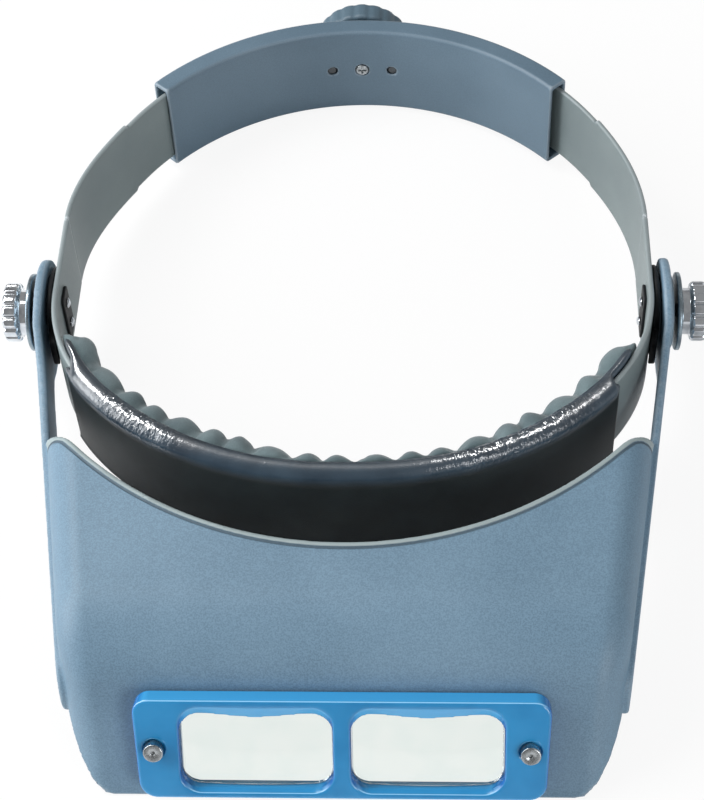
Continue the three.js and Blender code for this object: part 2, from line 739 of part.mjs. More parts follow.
// Side arm: flat around the pivot, then toed in to run along the wall.
function arm(side) {
  const direction = Math.PI + visor.armDip;
  const along = new THREE.Vector2(Math.cos(direction), Math.sin(direction));
  const across = new THREE.Vector2(-along.y, along.x);
  const at = (distance, offset) => new THREE.Vector2()
    .addScaledVector(along, distance)
    .addScaledVector(across, offset);
  const wide = visor.armEndRadius;
  const slim = visor.armHalfWidth;
  const neck = arcSteps(4, visor.armNeck, 8, (d) => {
    const share = THREE.MathUtils.smoothstep(d, 4, visor.armNeck);
    return at(d, wide + (slim - wide) * share);
  });
  const tip = arcSteps(Math.PI / 2, -Math.PI / 2, 12, (a) => {
    return at(visor.armLength - slim + slim * Math.cos(a), slim * Math.sin(a));
  });
  const farNeck = arcSteps(visor.armNeck, 4, 8, (d) => {
    const share = THREE.MathUtils.smoothstep(d, 4, visor.armNeck);
    return at(d, -wide - (slim - wide) * share);
  });
  const end = arcSteps(-Math.PI / 2, -1.5 * Math.PI, 24, (a) => at(wide * Math.cos(a), wide * Math.sin(a)));
  const outline = new THREE.Shape([...neck, ...tip, ...farNeck, ...end]);
  const farY = -160;
  const line = (x) => [
    new THREE.Vector2(x, 40),
    new THREE.Vector2(x, visor.toeInStartY),
    new THREE.Vector2(x + toeInAt(farY), farY),
  ];
  const plan = new THREE.Shape([...line(pivot.armInner), ...line(pivot.armOuter).reverse()]);
  const strip = common(prismX(outline, 60, 120), prismZ(plan, -70, 40));
  const bore = prismX(circle(pivot.boreRadius), 60, 120);
  return sided(side, cut(strip, bore));
}

const plateCentre = new THREE.Vector3(0, plate.centreY, plate.centreZ);

// Turns a solid drawn in the lens plate's frame into the headband frame.
function fromPlate(geometry) {
  return geometry.applyMatrix4(frontBasis).translate(0, plateCentre.y, plateCentre.z);
}

function visorShell() {
  const walls = cut(hood(0, false), hood(visor.wall, true), lowerCorner(-1), lowerCorner(1));
  const tapered = taperToVisor(walls);
  const windowShape = roundedRectangle(plate.windowHalfWidth, plate.windowHalfHeight, 6);
  const window = fromPlate(prismZ(windowShape, -15, 5));
  const sockets = [-1, 1].map((side) => {
    return fromPlate(prismZ(circle(plate.pinHoleRadius, side * plate.pinX), -15, 5));
  });
  return cut(join(cut(tapered, scoop()), arm(-1), arm(1)), window, ...sockets);
}

// ---------------------------------------------------------- lens plate

function lensPlate() {
  const bevel = plate.bevel;
  const outline = roundedRectangle(plate.width / 2 - bevel, plate.height / 2 - bevel, plate.cornerRadius - bevel);
  const body = new THREE.ExtrudeGeometry(outline, {
    depth: plate.thickness - 2 * bevel,
    bevelEnabled: true,
    bevelThickness: bevel,
    bevelSize: bevel,
    bevelSegments: 1,
    curveSegments: CORNER_STEPS,
  });
  body.translate(0, 0, -plate.thickness + bevel);
  const openings = [-1, 1].map((side) => prismZ(apertureOutline(side, 0), -20, 5));
  const pinHoles = [-1, 1].map((side) => prismZ(circle(plate.pinHoleRadius, side * plate.pinX), -20, 5));
  return cut(body, ...openings, ...pinHoles);
}

function apertureOutline(side, inset) {
  const halfWidth = plate.apertureWidth / 2 - inset;
  const halfHeight = plate.apertureHeight / 2 - inset;
  return roundedRectangle(halfWidth, halfHeight, plate.apertureRadius - inset, side * plate.apertureX, 0);
}

function lens(side) {
  const front = -(plate.thickness - plate.lensThickness) / 2;
  return prismZ(apertureOutline(side, RUN_GAP), front - plate.lensThickness, front);
}

function lensPin(side) {
  const x = side * plate.pinX;
  const head = prismZ(circle(plate.pinHeadRadius, x), RUN_GAP / 2, plate.pinHeadHeight);
  const shank = prismZ(circle(plate.pinRadius, x), -plate.pinLength, 1);
  const recess = prismZ(circle(plate.pinRecessRadius, x), plate.pinHeadHeight - 0.8, 5);
  return cut(join(head, shank), recess);
}

// ------------------------------------------------------------ assembly

const object = new THREE.Group();
const headband = new THREE.Group();
const lensGroup = new THREE.Group();

function add(parent, name, geometry, colour) {
  const mesh = new THREE.Mesh(geometry, new THREE.MeshStandardMaterial(colour));
  mesh.name = name;
  parent.add(mesh);
}

add(headband, 'strap_front', strapFront(), colours.strap);
add(headband, 'sweatband_cover', sweatbandCover(), colours.vinyl);
add(headband, 'sweatband_pad', sweatbandPad(), colours.pad);
add(headband, 'rear_sleeve', rearSleeve(), colours.sleeve);
add(headband, 'adjuster_pinion', adjusterPinion(), colours.resin);
add(headband, 'adjuster_knob', adjusterKnob(), colours.knob);
add(headband, 'knob_screw', knobScrew(), colours.steel);
add(headband, 'visor_shell', visorShell(), colours.shell);

for (const [side, hand] of [[-1, 'left'], [1, 'right']]) {
  add(headband, `strap_tail_${hand}`, strapTail(side), colours.strap);
  add(headband, `guide_pin_${hand}`, guidePin(side), colours.rubber);
  add(headband, `pivot_bracket_${hand}`, pivotBracket(side), colours.bracket);
  add(headband, `backing_plate_${hand}`, backingPlate(side), colours.bracket);
  add(headband, `bracket_rivet_${hand}_upper`, bracketRivet(side, 1), colours.chrome);
  add(headband, `bracket_rivet_${hand}_lower`, bracketRivet(side, -1), colours.chrome);
  add(headband, `pivot_stud_${hand}`, pivotStud(side), colours.steel);
  const frictionOuter = pivot.armInner - 0.2;
  const friction = washer(side, pivot.frictionRadius, pivot.frictionInner, frictionOuter);
  add(headband, `friction_washer_${hand}`, friction, colours.friction);
  const spring = washer(side, pivot.springRadius, pivot.springInner, pivot.springOuter);
  add(headband, `spring_washer_${hand}`, spring, colours.friction);
  const outer = washer(side, pivot.washerRadius, pivot.washerInner, pivot.washerOuter);
  add(headband, `outer_washer_${hand}`, outer, colours.steel);
  add(headband, `thumb_nut_${hand}`, thumbNut(side), colours.chrome);
  add(lensGroup, `lens_${hand}`, lens(side), colours.lens);
  add(lensGroup, `lens_pin_${hand}`, lensPin(side), colours.steel);
}
add(lensGroup, 'lens_plate', lensPlate(), colours.plate);

lensGroup.rotation.x = Math.PI / 2 - visor.frontLean;
lensGroup.position.copy(plateCentre);
headband.add(lensGroup);

// Rest stance: the visor's lower front edge and the sleeve's lower rear edge
// stand on the floor, and the origin is under the middle of the object.
const visorFoot = bend.clone().addScaledVector(frontUp, -visor.frontHeight);
const sleeveFoot = new THREE.Vector3(0, band.rearCentreY + sleeve.outerRadius, -sleeve.height / 2);
const footing = sleeveFoot.clone().sub(visorFoot);
headband.rotation.x = -Math.atan2(footing.z, footing.y);
object.add(headband);
object.updateMatrixWorld(true);
const box = new THREE.Box3().setFromObject(object, true);
headband.position.y = -(box.min.y + box.max.y) / 2;
headband.position.z = -box.min.z;

export default object;
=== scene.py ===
"""Looks of a head visor magnifier: fine meshes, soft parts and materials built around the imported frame.

Most pieces are level surfaces of distance fields, which gives every moulded edge its true rounding. They
are drawn in millimetres in the headband frame (origin on the visor pivot, +X to the right, +Y rearward,
+Z up) and then placed in the row frame.
"""

import json
import math

import bpy
import numpy as np
from mathutils import Matrix, Vector, noise


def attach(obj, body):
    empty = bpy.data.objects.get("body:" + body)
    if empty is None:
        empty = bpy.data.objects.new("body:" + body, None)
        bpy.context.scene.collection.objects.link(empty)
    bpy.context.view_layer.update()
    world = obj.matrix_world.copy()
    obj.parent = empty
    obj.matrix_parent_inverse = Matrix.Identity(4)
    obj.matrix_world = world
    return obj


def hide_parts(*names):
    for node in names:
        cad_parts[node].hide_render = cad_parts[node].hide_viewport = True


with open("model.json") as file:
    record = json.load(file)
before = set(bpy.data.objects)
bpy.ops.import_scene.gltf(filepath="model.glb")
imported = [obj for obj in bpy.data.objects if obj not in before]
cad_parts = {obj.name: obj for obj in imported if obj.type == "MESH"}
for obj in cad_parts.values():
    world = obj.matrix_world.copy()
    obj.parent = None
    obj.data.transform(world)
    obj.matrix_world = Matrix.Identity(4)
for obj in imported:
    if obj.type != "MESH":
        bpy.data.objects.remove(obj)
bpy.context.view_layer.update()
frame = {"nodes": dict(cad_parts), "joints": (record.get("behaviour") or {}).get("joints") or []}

# ---- frame and driving sizes

joints = {joint["name"]: joint for joint in frame["joints"]}
PIVOT = np.array(joints["visor_tilt"]["pos_m"])
AXES = np.array([[1.0, 0.0, 0.0], joints["size_adjust"]["axis"], joints["tail_left_flex"]["axis"]])
MM = 0.001


def in_row(points):
    """Headband-frame millimetres to row-frame metres."""
    return PIVOT + (np.asarray(points) @ AXES) * MM


def extent(node):
    """Lowest and highest corner of a CAD node in the headband frame, in millimetres."""
    mesh = frame["nodes"][node].data
    places = np.empty(len(mesh.vertices) * 3)
    mesh.vertices.foreach_get("co", places)
    local = (places.reshape(-1, 3) - PIVOT) @ AXES.T / MM
    return local.min(0), local.max(0)


STRAP_THICK = 1.5
STRAP_LOW, STRAP_HIGH = extent("strap_front")
STRAP_HALF_WIDTH = STRAP_HIGH[0] - STRAP_THICK / 2
STRAP_HALF_HEIGHT = STRAP_HIGH[2]
BROW_CENTRE_Y = -3.0
BROW_DEPTH = BROW_CENTRE_Y - STRAP_LOW[1] - STRAP_THICK / 2
BROW_FULLNESS = 2.1

SLEEVE_HIGH = extent("rear_sleeve")[1]
SLEEVE_DEEP = 6.4
SLEEVE_OUTER = 84.9
REAR_CENTRE_Y = SLEEVE_HIGH[1] - SLEEVE_OUTER
SLEEVE_MIDDLE = SLEEVE_OUTER - SLEEVE_DEEP / 2
SLEEVE_HALF_HEIGHT = SLEEVE_HIGH[2]
SLEEVE_END = math.radians(48.5)

WALL_REAR_Y = -46.0
SHOULDER_BACK = 4.5
SCOOP_RADIUS, SCOOP_Y = 105.0, -85.1
HORN_ROUND = 4.0

FRONT_LEAN = math.radians(28.6)
FRONT_UP = np.array([0.0, math.sin(FRONT_LEAN), math.cos(FRONT_LEAN)])
FRONT_OUT = np.array([0.0, -math.cos(FRONT_LEAN), math.sin(FRONT_LEAN)])
PLATE_CENTRE = np.array([0.0, -131.8, -19.3])


def from_plate(points):
    """Lens-plate frame (X across, Y up the plate, Z out of its face) to the headband frame."""
    across = points[:, :1] * [1.0, 0.0, 0.0]
    return PLATE_CENTRE + across + points[:, 1:2] * FRONT_UP + points[:, 2:] * FRONT_OUT


def from_side(points):
    """Axle frame (Z outward along +X) to the headband frame."""
    return points[:, [2, 0, 1]]


def from_rear(points):
    """Rear frame (X across, Y up, Z rearward) to the headband frame."""
    return points[:, [0, 2, 1]]


# ---- distance fields

def length(*parts):
    return np.sqrt(sum(part * part for part in parts))


def meet(a, b, radius=0.0):
    """What both hold, with the outside edge rounded."""
    if radius == 0:
        return np.maximum(a, b)
    outside = length(np.maximum(a + radius, 0), np.maximum(b + radius, 0))
    return np.minimum(np.maximum(a, b), -radius) + outside


def unite(a, b, radius=0.0):
    """What either holds, with the inside corner filleted."""
    return -meet(-a, -b, radius)


def carve(a, b, radius=0.0):
    """What a holds and b does not."""
    return meet(a, -b, radius)


def panel(u, v, half_u, half_v, radius):
    """Rectangle with rounded corners."""
    du = np.abs(u) - half_u + radius
    dv = np.abs(v) - half_v + radius
    return np.minimum(np.maximum(du, dv), 0) + length(np.maximum(du, 0), np.maximum(dv, 0)) - radius


def slab(w, low, high):
    return np.abs(w - (low + high) / 2) - (high - low) / 2


def smooth(value, start, end):
    share = np.clip((value - start) / (end - start), 0, 1)
    return share * share * (3 - 2 * share)


def slope(field, points, reach):
    """Gradient of a field at points, by central differences."""
    parts = []
    for axis in range(3):
        shift = np.zeros(3)
        shift[axis] = reach
        ahead = field(*(points + shift).T)
        behind = field(*(points - shift).T)
        parts.append((ahead - behind) / (2 * reach))
    return np.stack(parts, 1)


def settle(field, points, step, rounds=3):
    """Draws points onto the surface of a field."""
    for _ in range(rounds):
        steep = slope(field, points, step * 0.05)
        square = np.maximum((steep * steep).sum(1), 1e-6)
        move = -(field(*points.T) / square)[:, None] * steep
        far = np.maximum(length(*move.T)[:, None], 1e-9)
        points = points + move * np.minimum(1, 0.7 * step / far)
    return points


def neighbours_mean(points, faces):
    """Mean of each point's neighbours along the edges of a closed quad mesh."""
    start = faces.ravel()
    end = np.roll(faces, -1, axis=1).ravel()
    count = np.bincount(start, minlength=len(points))
    total = [np.bincount(start, points[end, axis], len(points)) for axis in range(3)]
    return np.stack(total, 1) / np.maximum(count, 1)[:, None]


MARGIN = 1.6  # grid cells left free round a shape
SLICES = 24  # grid layers computed at a time
CORNERS = [(i, j, k) for i in (0, 1) for j in (0, 1) for k in (0, 1)]
CELL_EDGES = [(a, b) for a in range(8) for b in range(a + 1, 8)
              if sum(abs(p - q) for p, q in zip(CORNERS[a], CORNERS[b])) == 1]


def crossing_mean(value, cells):
    """Each cell's point, in cells: the mean of the places where its edges cross the surface."""
    at_corner = [value[tuple((cells + corner).T)] for corner in CORNERS]
    total, crossings = np.zeros((len(cells), 3)), np.zeros(len(cells))
    for a, b in CELL_EDGES:
        crossed = (at_corner[a] < 0) != (at_corner[b] < 0)
        drop = np.where(crossed, at_corner[a] - at_corner[b], 1)
        share = np.where(crossed, at_corner[a] / drop, 0)[:, None]
        place = np.array(CORNERS[a]) + share * (np.array(CORNERS[b]) - CORNERS[a])
        total += place * crossed[:, None]
        crossings += crossed
    return cells + total / crossings[:, None]


def crossing_faces(inside, index):
    """A quad round every grid edge that crosses the surface, facing out."""
    faces = []
    for axis in range(3):
        order = (axis, (axis + 1) % 3, (axis + 2) % 3)
        held, cell = inside.transpose(order), index.transpose(order)
        i, j, k = np.nonzero(held[:-1, 1:-1, 1:-1] != held[1:, 1:-1, 1:-1])
        quads = np.stack([cell[i, j, k], cell[i, j + 1, k], cell[i, j + 1, k + 1], cell[i, j, k + 1]], 1)
        faces.append(np.where(held[i, j + 1, k + 1][:, None], quads, quads[:, ::-1]))
    return np.concatenate(faces)


def surface(field, low, high, step):
    """Closed quad mesh of the zero level of a field inside a box, by surface nets."""
    low = np.array(low, float) - MARGIN * step
    count = np.ceil((np.array(high, float) + MARGIN * step - low) / step).astype(int) + 1
    x, y, z = [low[axis] + step * np.arange(count[axis]) for axis in range(3)]
    value = np.empty(count)
    for i in range(0, count[0], SLICES):
        value[i:i + SLICES] = field(x[i:i + SLICES, None, None], y[None, :, None], z[None, None, :])
    inside = value < 0
    ends = [slice(None, -1), slice(1, None)]
    full = sum(inside[ends[i], ends[j], ends[k]].astype(np.int8) for i, j, k in CORNERS)
    cells = np.argwhere((full > 0) & (full < len(CORNERS)))
    index = np.full(full.shape, -1)
    index[tuple(cells.T)] = np.arange(len(cells))
    faces = crossing_faces(inside, index)
    points = settle(field, low + step * crossing_mean(value, cells), step)
    for _ in range(2):
        points += 0.5 * (neighbours_mean(points, faces) - points)
        points = settle(field, points, step, 2)
    return points, faces


def mirrored(shape):
    points, faces = shape
    return points * [-1.0, 1.0, 1.0], faces[:, ::-1]


def placed(shape, place):
    """A shape with its points moved by a function; turned inside out again if the move mirrors it."""
    points, faces = shape
    basis = place(np.vstack([np.zeros(3), np.eye(3)]))
    turn = np.linalg.det(basis[1:] - basis[0])
    return place(points), faces if turn > 0 else faces[:, ::-1]


def piece(name, shape, body, slot, material, *replaced):
    """Puts a shape drawn in the headband frame into the scene, on its body."""
    points, faces = shape
    mesh = bpy.data.meshes.new(name)
    mesh.from_pydata(in_row(points).tolist(), [], faces.tolist())
    mesh.polygons.foreach_set("use_smooth", np.ones(len(mesh.polygons), bool))
    mesh.materials.append(material)
    obj = bpy.data.objects.new(name, mesh)
    bpy.context.scene.collection.objects.link(obj)
    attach(obj, body)
    if replaced:
        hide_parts(*replaced)
    return obj


# ---- materials

def linear(red, green, blue):
    """Display colour, 0 to 255, to the shader's linear values."""
    parts = [channel / 255 for channel in (red, green, blue)]
    return tuple(c / 12.92 if c < 0.04045 else ((c + 0.055) / 1.055) ** 2.4 for c in parts) + (1.0,)


class Shader:
    """A material's node tree with a principled shader and places measured in millimetres."""

    def __init__(self, name, **settings):
        self.material = bpy.data.materials.new(name)
        self.material.use_nodes = True
        self.tree = self.material.node_tree
        self.main = self.tree.nodes["Principled BSDF"]
        self.set(settings)
        coordinates = self.node("ShaderNodeTexCoord").outputs["Object"]
        scaled = {0: coordinates, "Scale": 1 / MM}
        self.place = self.node("ShaderNodeVectorMath", scaled, operation="SCALE").outputs[0]

    def node(self, kind, inputs=None, **settings):
        made = self.tree.nodes.new(kind)
        for key, value in settings.items():
            setattr(made, key, value)
        for key, value in (inputs or {}).items():
            self.feed(made.inputs[key], value)
        return made

    def feed(self, socket, value):
        if isinstance(value, bpy.types.NodeSocket):
            self.tree.links.new(value, socket)
        else:
            socket.default_value = value

    def set(self, settings):
        for key, value in settings.items():
            self.feed(self.main.inputs[key.replace("_", " ")], value)

    def noise(self, size, detail=2.0, stretch=None, roughness=0.5, distortion=0.0, place=None):
        """Noise whose features are about size millimetres across."""
        place = self.place if place is None else place
        if stretch:
            place = self.vector("MULTIPLY", place, stretch)
        values = {"Vector": place, "Scale": 1 / size, "Detail": detail}
        values.update({"Roughness": roughness, "Distortion": distortion})
        return self.node("ShaderNodeTexNoise", values).outputs["Fac"]

    def cells(self, size, feature="F1"):
        values = {"Vector": self.place, "Scale": 1 / size}
        return self.node("ShaderNodeTexVoronoi", values, feature=feature).outputs["Distance"]

    def remap(self, value, low, high, to_low=0.0, to_high=1.0):
        values = {"Value": value, "From Min": low, "From Max": high, "To Min": to_low, "To Max": to_high}
        return self.node("ShaderNodeMapRange", values).outputs["Result"]

    def mix(self, share, a, b, blend="MIX"):
        made = self.node("ShaderNodeMix", {"Factor": share}, data_type="RGBA", blend_type=blend)
        self.feed(made.inputs[6], a)
        self.feed(made.inputs[7], b)
        return made.outputs[2]

    def math(self, operation, a, b=0.0):
        return self.node("ShaderNodeMath", {0: a, 1: b}, operation=operation).outputs[0]

    def times(self, a, b):
        return self.math("MULTIPLY", a, b)

    def vector(self, operation, a, b, output="Vector"):
        return self.node("ShaderNodeVectorMath", {0: a, 1: b}, operation=operation).outputs[output]

    def edges(self, low=0.52, high=0.6):
        """Near 1 on sharp outside edges."""
        point = self.node("ShaderNodeNewGeometry").outputs["Pointiness"]
        return self.remap(point, low, high)

    def along(self, axis):
        """Distance along an axis of the headband frame, in millimetres."""
        here = self.vector("SUBTRACT", self.place, Vector(PIVOT / MM))
        return self.vector("DOT_PRODUCT", here, Vector(AXES[axis]), "Value")

    def meet(self, a, b, radius):
        """The same rounded intersection as the distance fields use."""
        inner = self.math("MINIMUM", self.math("MAXIMUM", a, b), -radius)
        parts = [self.math("MAXIMUM", self.math("ADD", side, radius), 0.0) for side in (a, b)]
        squares = [self.times(part, part) for part in parts]
        return self.math("ADD", inner, self.math("SQRT", self.math("ADD", *squares)))

    def attribute(self, name):
        return self.node("ShaderNodeAttribute", attribute_name=name).outputs["Fac"]

    def bump(self, height, depth, below=None):
        """Relief depth in millimetres, on top of another relief if given."""
        values = {"Height": height, "Strength": 1.0, "Distance": depth * MM}
        if below is not None:
            values["Normal"] = below
        return self.node("ShaderNodeBump", values).outputs["Normal"]


def moulded(name, bright, dark, roughness, grain, relief, speckle, edge_wear_and_highlight, trim=None, **settings):
    """Moulded plastic: fine textured grain, slow colour drift, edges lightened partly as rubbing wear and
    partly as a painted highlight, and marks added by trim.
    """
    shader = Shader(name, **settings)
    fine = shader.noise(grain, 1.5, roughness=0.6)
    drift = shader.noise(38.0, 3.0)
    base = shader.mix(shader.remap(drift, 0.35, 0.65), linear(*dark), linear(*bright))
    specks = shader.mix(shader.remap(fine, 0.38, 0.62), (0.55, 0.56, 0.58, 1), (1.45, 1.44, 1.42, 1))
    base = shader.mix(speckle, base, specks, "MULTIPLY")
    # sharp edges lightened towards pale blue-grey: part rubbing wear, part painted highlight
    worn_and_highlit = shader.mix(edge_wear_and_highlight, base, (0.75, 0.8, 0.84, 1))
    base = shader.mix(shader.edges(), base, worn_and_highlit)
    normal = shader.bump(fine, relief)
    if trim:
        base, normal = trim(shader, base, normal)
    rough = shader.remap(fine, 0.3, 0.7, roughness - 0.06, roughness + 0.08)
    shader.set({"Base Color": base, "Roughness": rough, "Normal": normal})
    return shader.material


def scoop_trim(shader, base, normal):
    """A painted highlight on the rounded rim along the hood's rear edge, and a fine groove in front of it,
    bumped in and darkened with painted shade.
    """
    x, y, z = [shader.along(axis) for axis in range(3)]
    ahead = shader.math("SUBTRACT", y, SCOOP_Y + SCOOP_RADIUS)
    square = shader.math("ADD", shader.times(x, x), shader.times(ahead, ahead))
    scoop = shader.math("SUBTRACT", SCOOP_RADIUS, shader.math("SQRT", square))
    rear = shader.math("ADD", y, SHOULDER_BACK - WALL_REAR_Y)
    edge = shader.meet(scoop, rear, HORN_ROUND)
    above = shader.remap(z, 1.0, 2.0)
    lip_highlight = shader.times(shader.remap(edge, -1.55, -1.35), shader.remap(edge, 0.6, 0.4))
    lip_highlight = shader.times(lip_highlight, above)
    off = shader.math("ABSOLUTE", shader.math("ADD", edge, 1.85))
    groove_and_shade = shader.times(shader.remap(off, 0.5, 0.15), above)
    # painted highlight: the rim's pale band stands in for light caught on its rounding
    base = shader.mix(lip_highlight, base, linear(150, 164, 166))
    # painted shade: the groove line is darkened as if in shadow; the bump is real relief
    base = shader.mix(shader.times(groove_and_shade, 0.75), base, linear(52, 66, 74))
    return base, shader.bump(groove_and_shade, -0.3, normal)


def metal(name, bright, dark, roughness, brush, relief):
    """Plated or turned metal with fine tool marks and faint tarnish."""
    shader = Shader(name, Metallic=1.0)
    marks = shader.noise(0.35, 3.0, stretch=brush)
    tarnish = shader.noise(3.5, 4.0)
    base = shader.mix(shader.remap(tarnish, 0.4, 0.7), linear(*bright), linear(*dark))
    rough = shader.remap(marks, 0.3, 0.7, roughness * 0.7, roughness * 1.4)
    normal = shader.bump(marks, relief)
    shader.set({"Base Color": base, "Roughness": rough, "Normal": normal})
    return shader.material


def vinyl():
    """Creased glossy vinyl, near black on the outer face and painted lighter on the roll as a sheen."""
    shader = Shader("vinyl_creased")
    names = ("roll", "crease", "gloss", "run", "over")
    roll, crease, gloss, run, over = [shader.attribute(name) for name in names]
    grain = shader.cells(0.8, "DISTANCE_TO_EDGE")
    fine = shader.noise(0.5, 3.0)
    drift = shader.noise(14.0, 4.0)
    face = shader.mix(shader.remap(drift, 0.35, 0.7), linear(16, 25, 27), linear(32, 40, 42))
    # painted sheen: the roll's lighter blue-grey stands in for light on its upturned top
    top = shader.mix(shader.remap(drift, 0.35, 0.7), linear(34, 50, 64), linear(58, 76, 90))
    base = shader.mix(roll, face, top)
    unrolled = shader.node("ShaderNodeCombineXYZ", {0: run, 1: over, 2: shader.along(2)}).outputs[0]
    crinkle = shader.noise(0.9, 2.0, stretch=(1.0, 0.45, 0.45), distortion=0.8, place=unrolled)
    height = shader.math("ADD", shader.remap(grain, 0.0, 0.25), shader.times(fine, 0.5))
    normal = shader.bump(height, 0.014)
    deep = shader.times(shader.remap(crinkle, 0.3, 0.7), crease)
    normal = shader.bump(deep, 0.13, normal)
    rough = shader.remap(gloss, 0.0, 1.0, 0.5, 0.3)
    shader.set({"Base Color": base, "Roughness": rough, "Normal": normal, "Coat Normal": normal})
    shader.set({
        "Coat Weight": shader.remap(gloss, 0.0, 1.0, 0.06, 1.0),
        "Coat Roughness": shader.remap(crease, 0.2, 0.9, 0.2, 0.05),
        "Specular IOR Level": shader.remap(gloss, 0.0, 1.0, 0.25, 0.5),
    })
    return shader.material


def sweat_pad():
    """Soft flocked padding, with painted shade darkening the valleys between its ribs."""
    shader = Shader("pad_flocked", Roughness=0.85, **{"Sheen Weight": 0.35, "Sheen Roughness": 0.5})
    nap = shader.noise(0.35, 3.0, roughness=0.7)
    drift = shader.noise(9.0, 3.0)
    base = shader.mix(shader.remap(drift, 0.35, 0.65), linear(80, 98, 103), linear(102, 120, 124))
    flecks = shader.mix(shader.remap(nap, 0.35, 0.65), (0.6, 0.6, 0.62, 1), (1.3, 1.3, 1.28, 1))
    base = shader.mix(0.25, base, flecks, "MULTIPLY")
    # painted shade: low pointiness in the valleys darkens the colour
    point = shader.node("ShaderNodeNewGeometry").outputs["Pointiness"]
    base = shader.mix(shader.remap(point, 0.5, 0.44, 0.0, 0.7), base, linear(48, 60, 66))
    normal = shader.bump(nap, 0.06)
    shader.set({"Base Color": base, "Normal": normal})
    return shader.material


def tinted_plate():
    """Glossy blue moulding with painted light: lighter on faces turned up or down the plate, a painted
    glint on the rounding at its top, a painted edge highlight, and deeper in colour on its side faces where
    it is seen through its edge.
    """
    shader = Shader("plate_blue", Roughness=0.24, **{"Coat Weight": 0.35, "Coat Roughness": 0.12})
    drift = shader.noise(16.0, 3.0)
    fine = shader.noise(0.9, 2.0)
    base = shader.mix(shader.remap(drift, 0.35, 0.65), linear(28, 124, 180), linear(42, 140, 196))
    up = Vector(FRONT_UP @ AXES)
    normal = shader.node("ShaderNodeNewGeometry").outputs["Normal"]
    facing = shader.vector("DOT_PRODUCT", normal, up, "Value")
    # painted light: faces turned up the plate are lighter
    base = shader.mix(shader.remap(facing, 0.8, 0.98), base, linear(58, 156, 214))
    glint = shader.times(shader.remap(facing, 0.4, 0.55), shader.remap(facing, 0.8, 0.68))
    base = shader.mix(glint, base, linear(146, 208, 244))
    # painted light: faces turned down the plate, such as the top walls of the openings, are lighter
    base = shader.mix(shader.remap(facing, -0.2, -0.35), base, linear(76, 168, 222))
    # painted light: side faces are painted a deeper blue for light seen through the edge
    sideways = shader.node("ShaderNodeSeparateXYZ", {0: normal}).outputs["X"]
    sideways = shader.math("ABSOLUTE", sideways)
    base = shader.mix(shader.remap(sideways, 0.3, 0.8), base, linear(22, 106, 182))
    # painted highlight: a pale line on sharp edges
    base = shader.mix(shader.times(shader.edges(0.53, 0.62), 0.55), base, linear(140, 200, 240))
    shader.set({"Base Color": base, "Normal": shader.bump(fine, 0.008)})
    return shader.material


def clear_lens():
    """Polished acrylic: see-through, with a faint green tint and bright rims."""
    shader = Shader("lens_clear", Roughness=0.02)
    tree = shader.tree
    haze = shader.noise(9.0, 2.0)
    tint = shader.mix(shader.remap(haze, 0.4, 0.6), linear(249, 253, 251), linear(251, 254, 252))
    through = shader.node("ShaderNodeBsdfTransparent", {"Color": tint}).outputs[0]
    gloss = shader.node("ShaderNodeBsdfGlossy", {"Color": (1, 1, 1, 1), "Roughness": 0.03}).outputs[0]
    rim = shader.node("ShaderNodeLayerWeight", {"Blend": 0.28}).outputs["Fresnel"]
    share = shader.remap(rim, 0.0, 1.0, 0.02, 0.6)
    mixed = shader.node("ShaderNodeMixShader", {0: share, 1: through, 2: gloss}).outputs[0]
    tree.links.new(mixed, tree.nodes["Material Output"].inputs["Surface"])
    return shader.material


# name, bright and dark colour, roughness, then grain size, relief, speckle and edge lightening (part
# rubbing wear, part painted highlight)
SHELL = moulded("shell_speckled", (110, 138, 158), (101, 129, 149), 0.5, 0.42, 0.03, 0.3, 0.3, scoop_trim)
ARM_BLUE = moulded("arm_satin", (104, 128, 144), (94, 118, 134), 0.45, 0.4, 0.01, 0.14, 0.35)
STRAP = moulded("strap_satin", (122, 134, 135), (110, 122, 124), 0.42, 0.3, 0.006, 0.12, 0.5)
SLEEVE = moulded("sleeve_satin", (98, 120, 136), (89, 111, 127), 0.46, 0.35, 0.012, 0.14, 0.35)
KNOB = moulded("knob_satin", (88, 110, 124), (80, 102, 116), 0.48, 0.35, 0.012, 0.14, 0.35)
DULL = {"Specular IOR Level": 0.25}
BRACKET = moulded("bracket_black", (16, 17, 20), (9, 10, 13), 0.5, 0.4, 0.01, 0.2, 0.1, **DULL)
FRICTION = moulded("friction_fibre", (120, 140, 152), (104, 124, 138), 0.65, 0.25, 0.02, 0.35, 0.2)
RUBBER = moulded("rubber_black", (30, 34, 38), (22, 25, 28), 0.7, 0.3, 0.01, 0.2, 0.1)
RESIN = moulded("resin_white", (206, 208, 200), (192, 194, 186), 0.5, 0.4, 0.01, 0.1, 0.3)
EVEN = (1.0, 1.0, 1.0)
WASHER = metal("washer_steel", (150, 164, 172), (112, 126, 136), 0.32, EVEN, 0.004)
STEEL = metal("steel_turned", (176, 180, 182), (120, 124, 126), 0.28, EVEN, 0.004)
CHROME = metal("chrome_plated", (226, 230, 234), (186, 190, 196), 0.1, (1.0, 0.2, 0.2), 0.002)
VINYL = vinyl()
PAD = sweat_pad()
PLATE = tinted_plate()
LENS = clear_lens()

# ---- visor shell

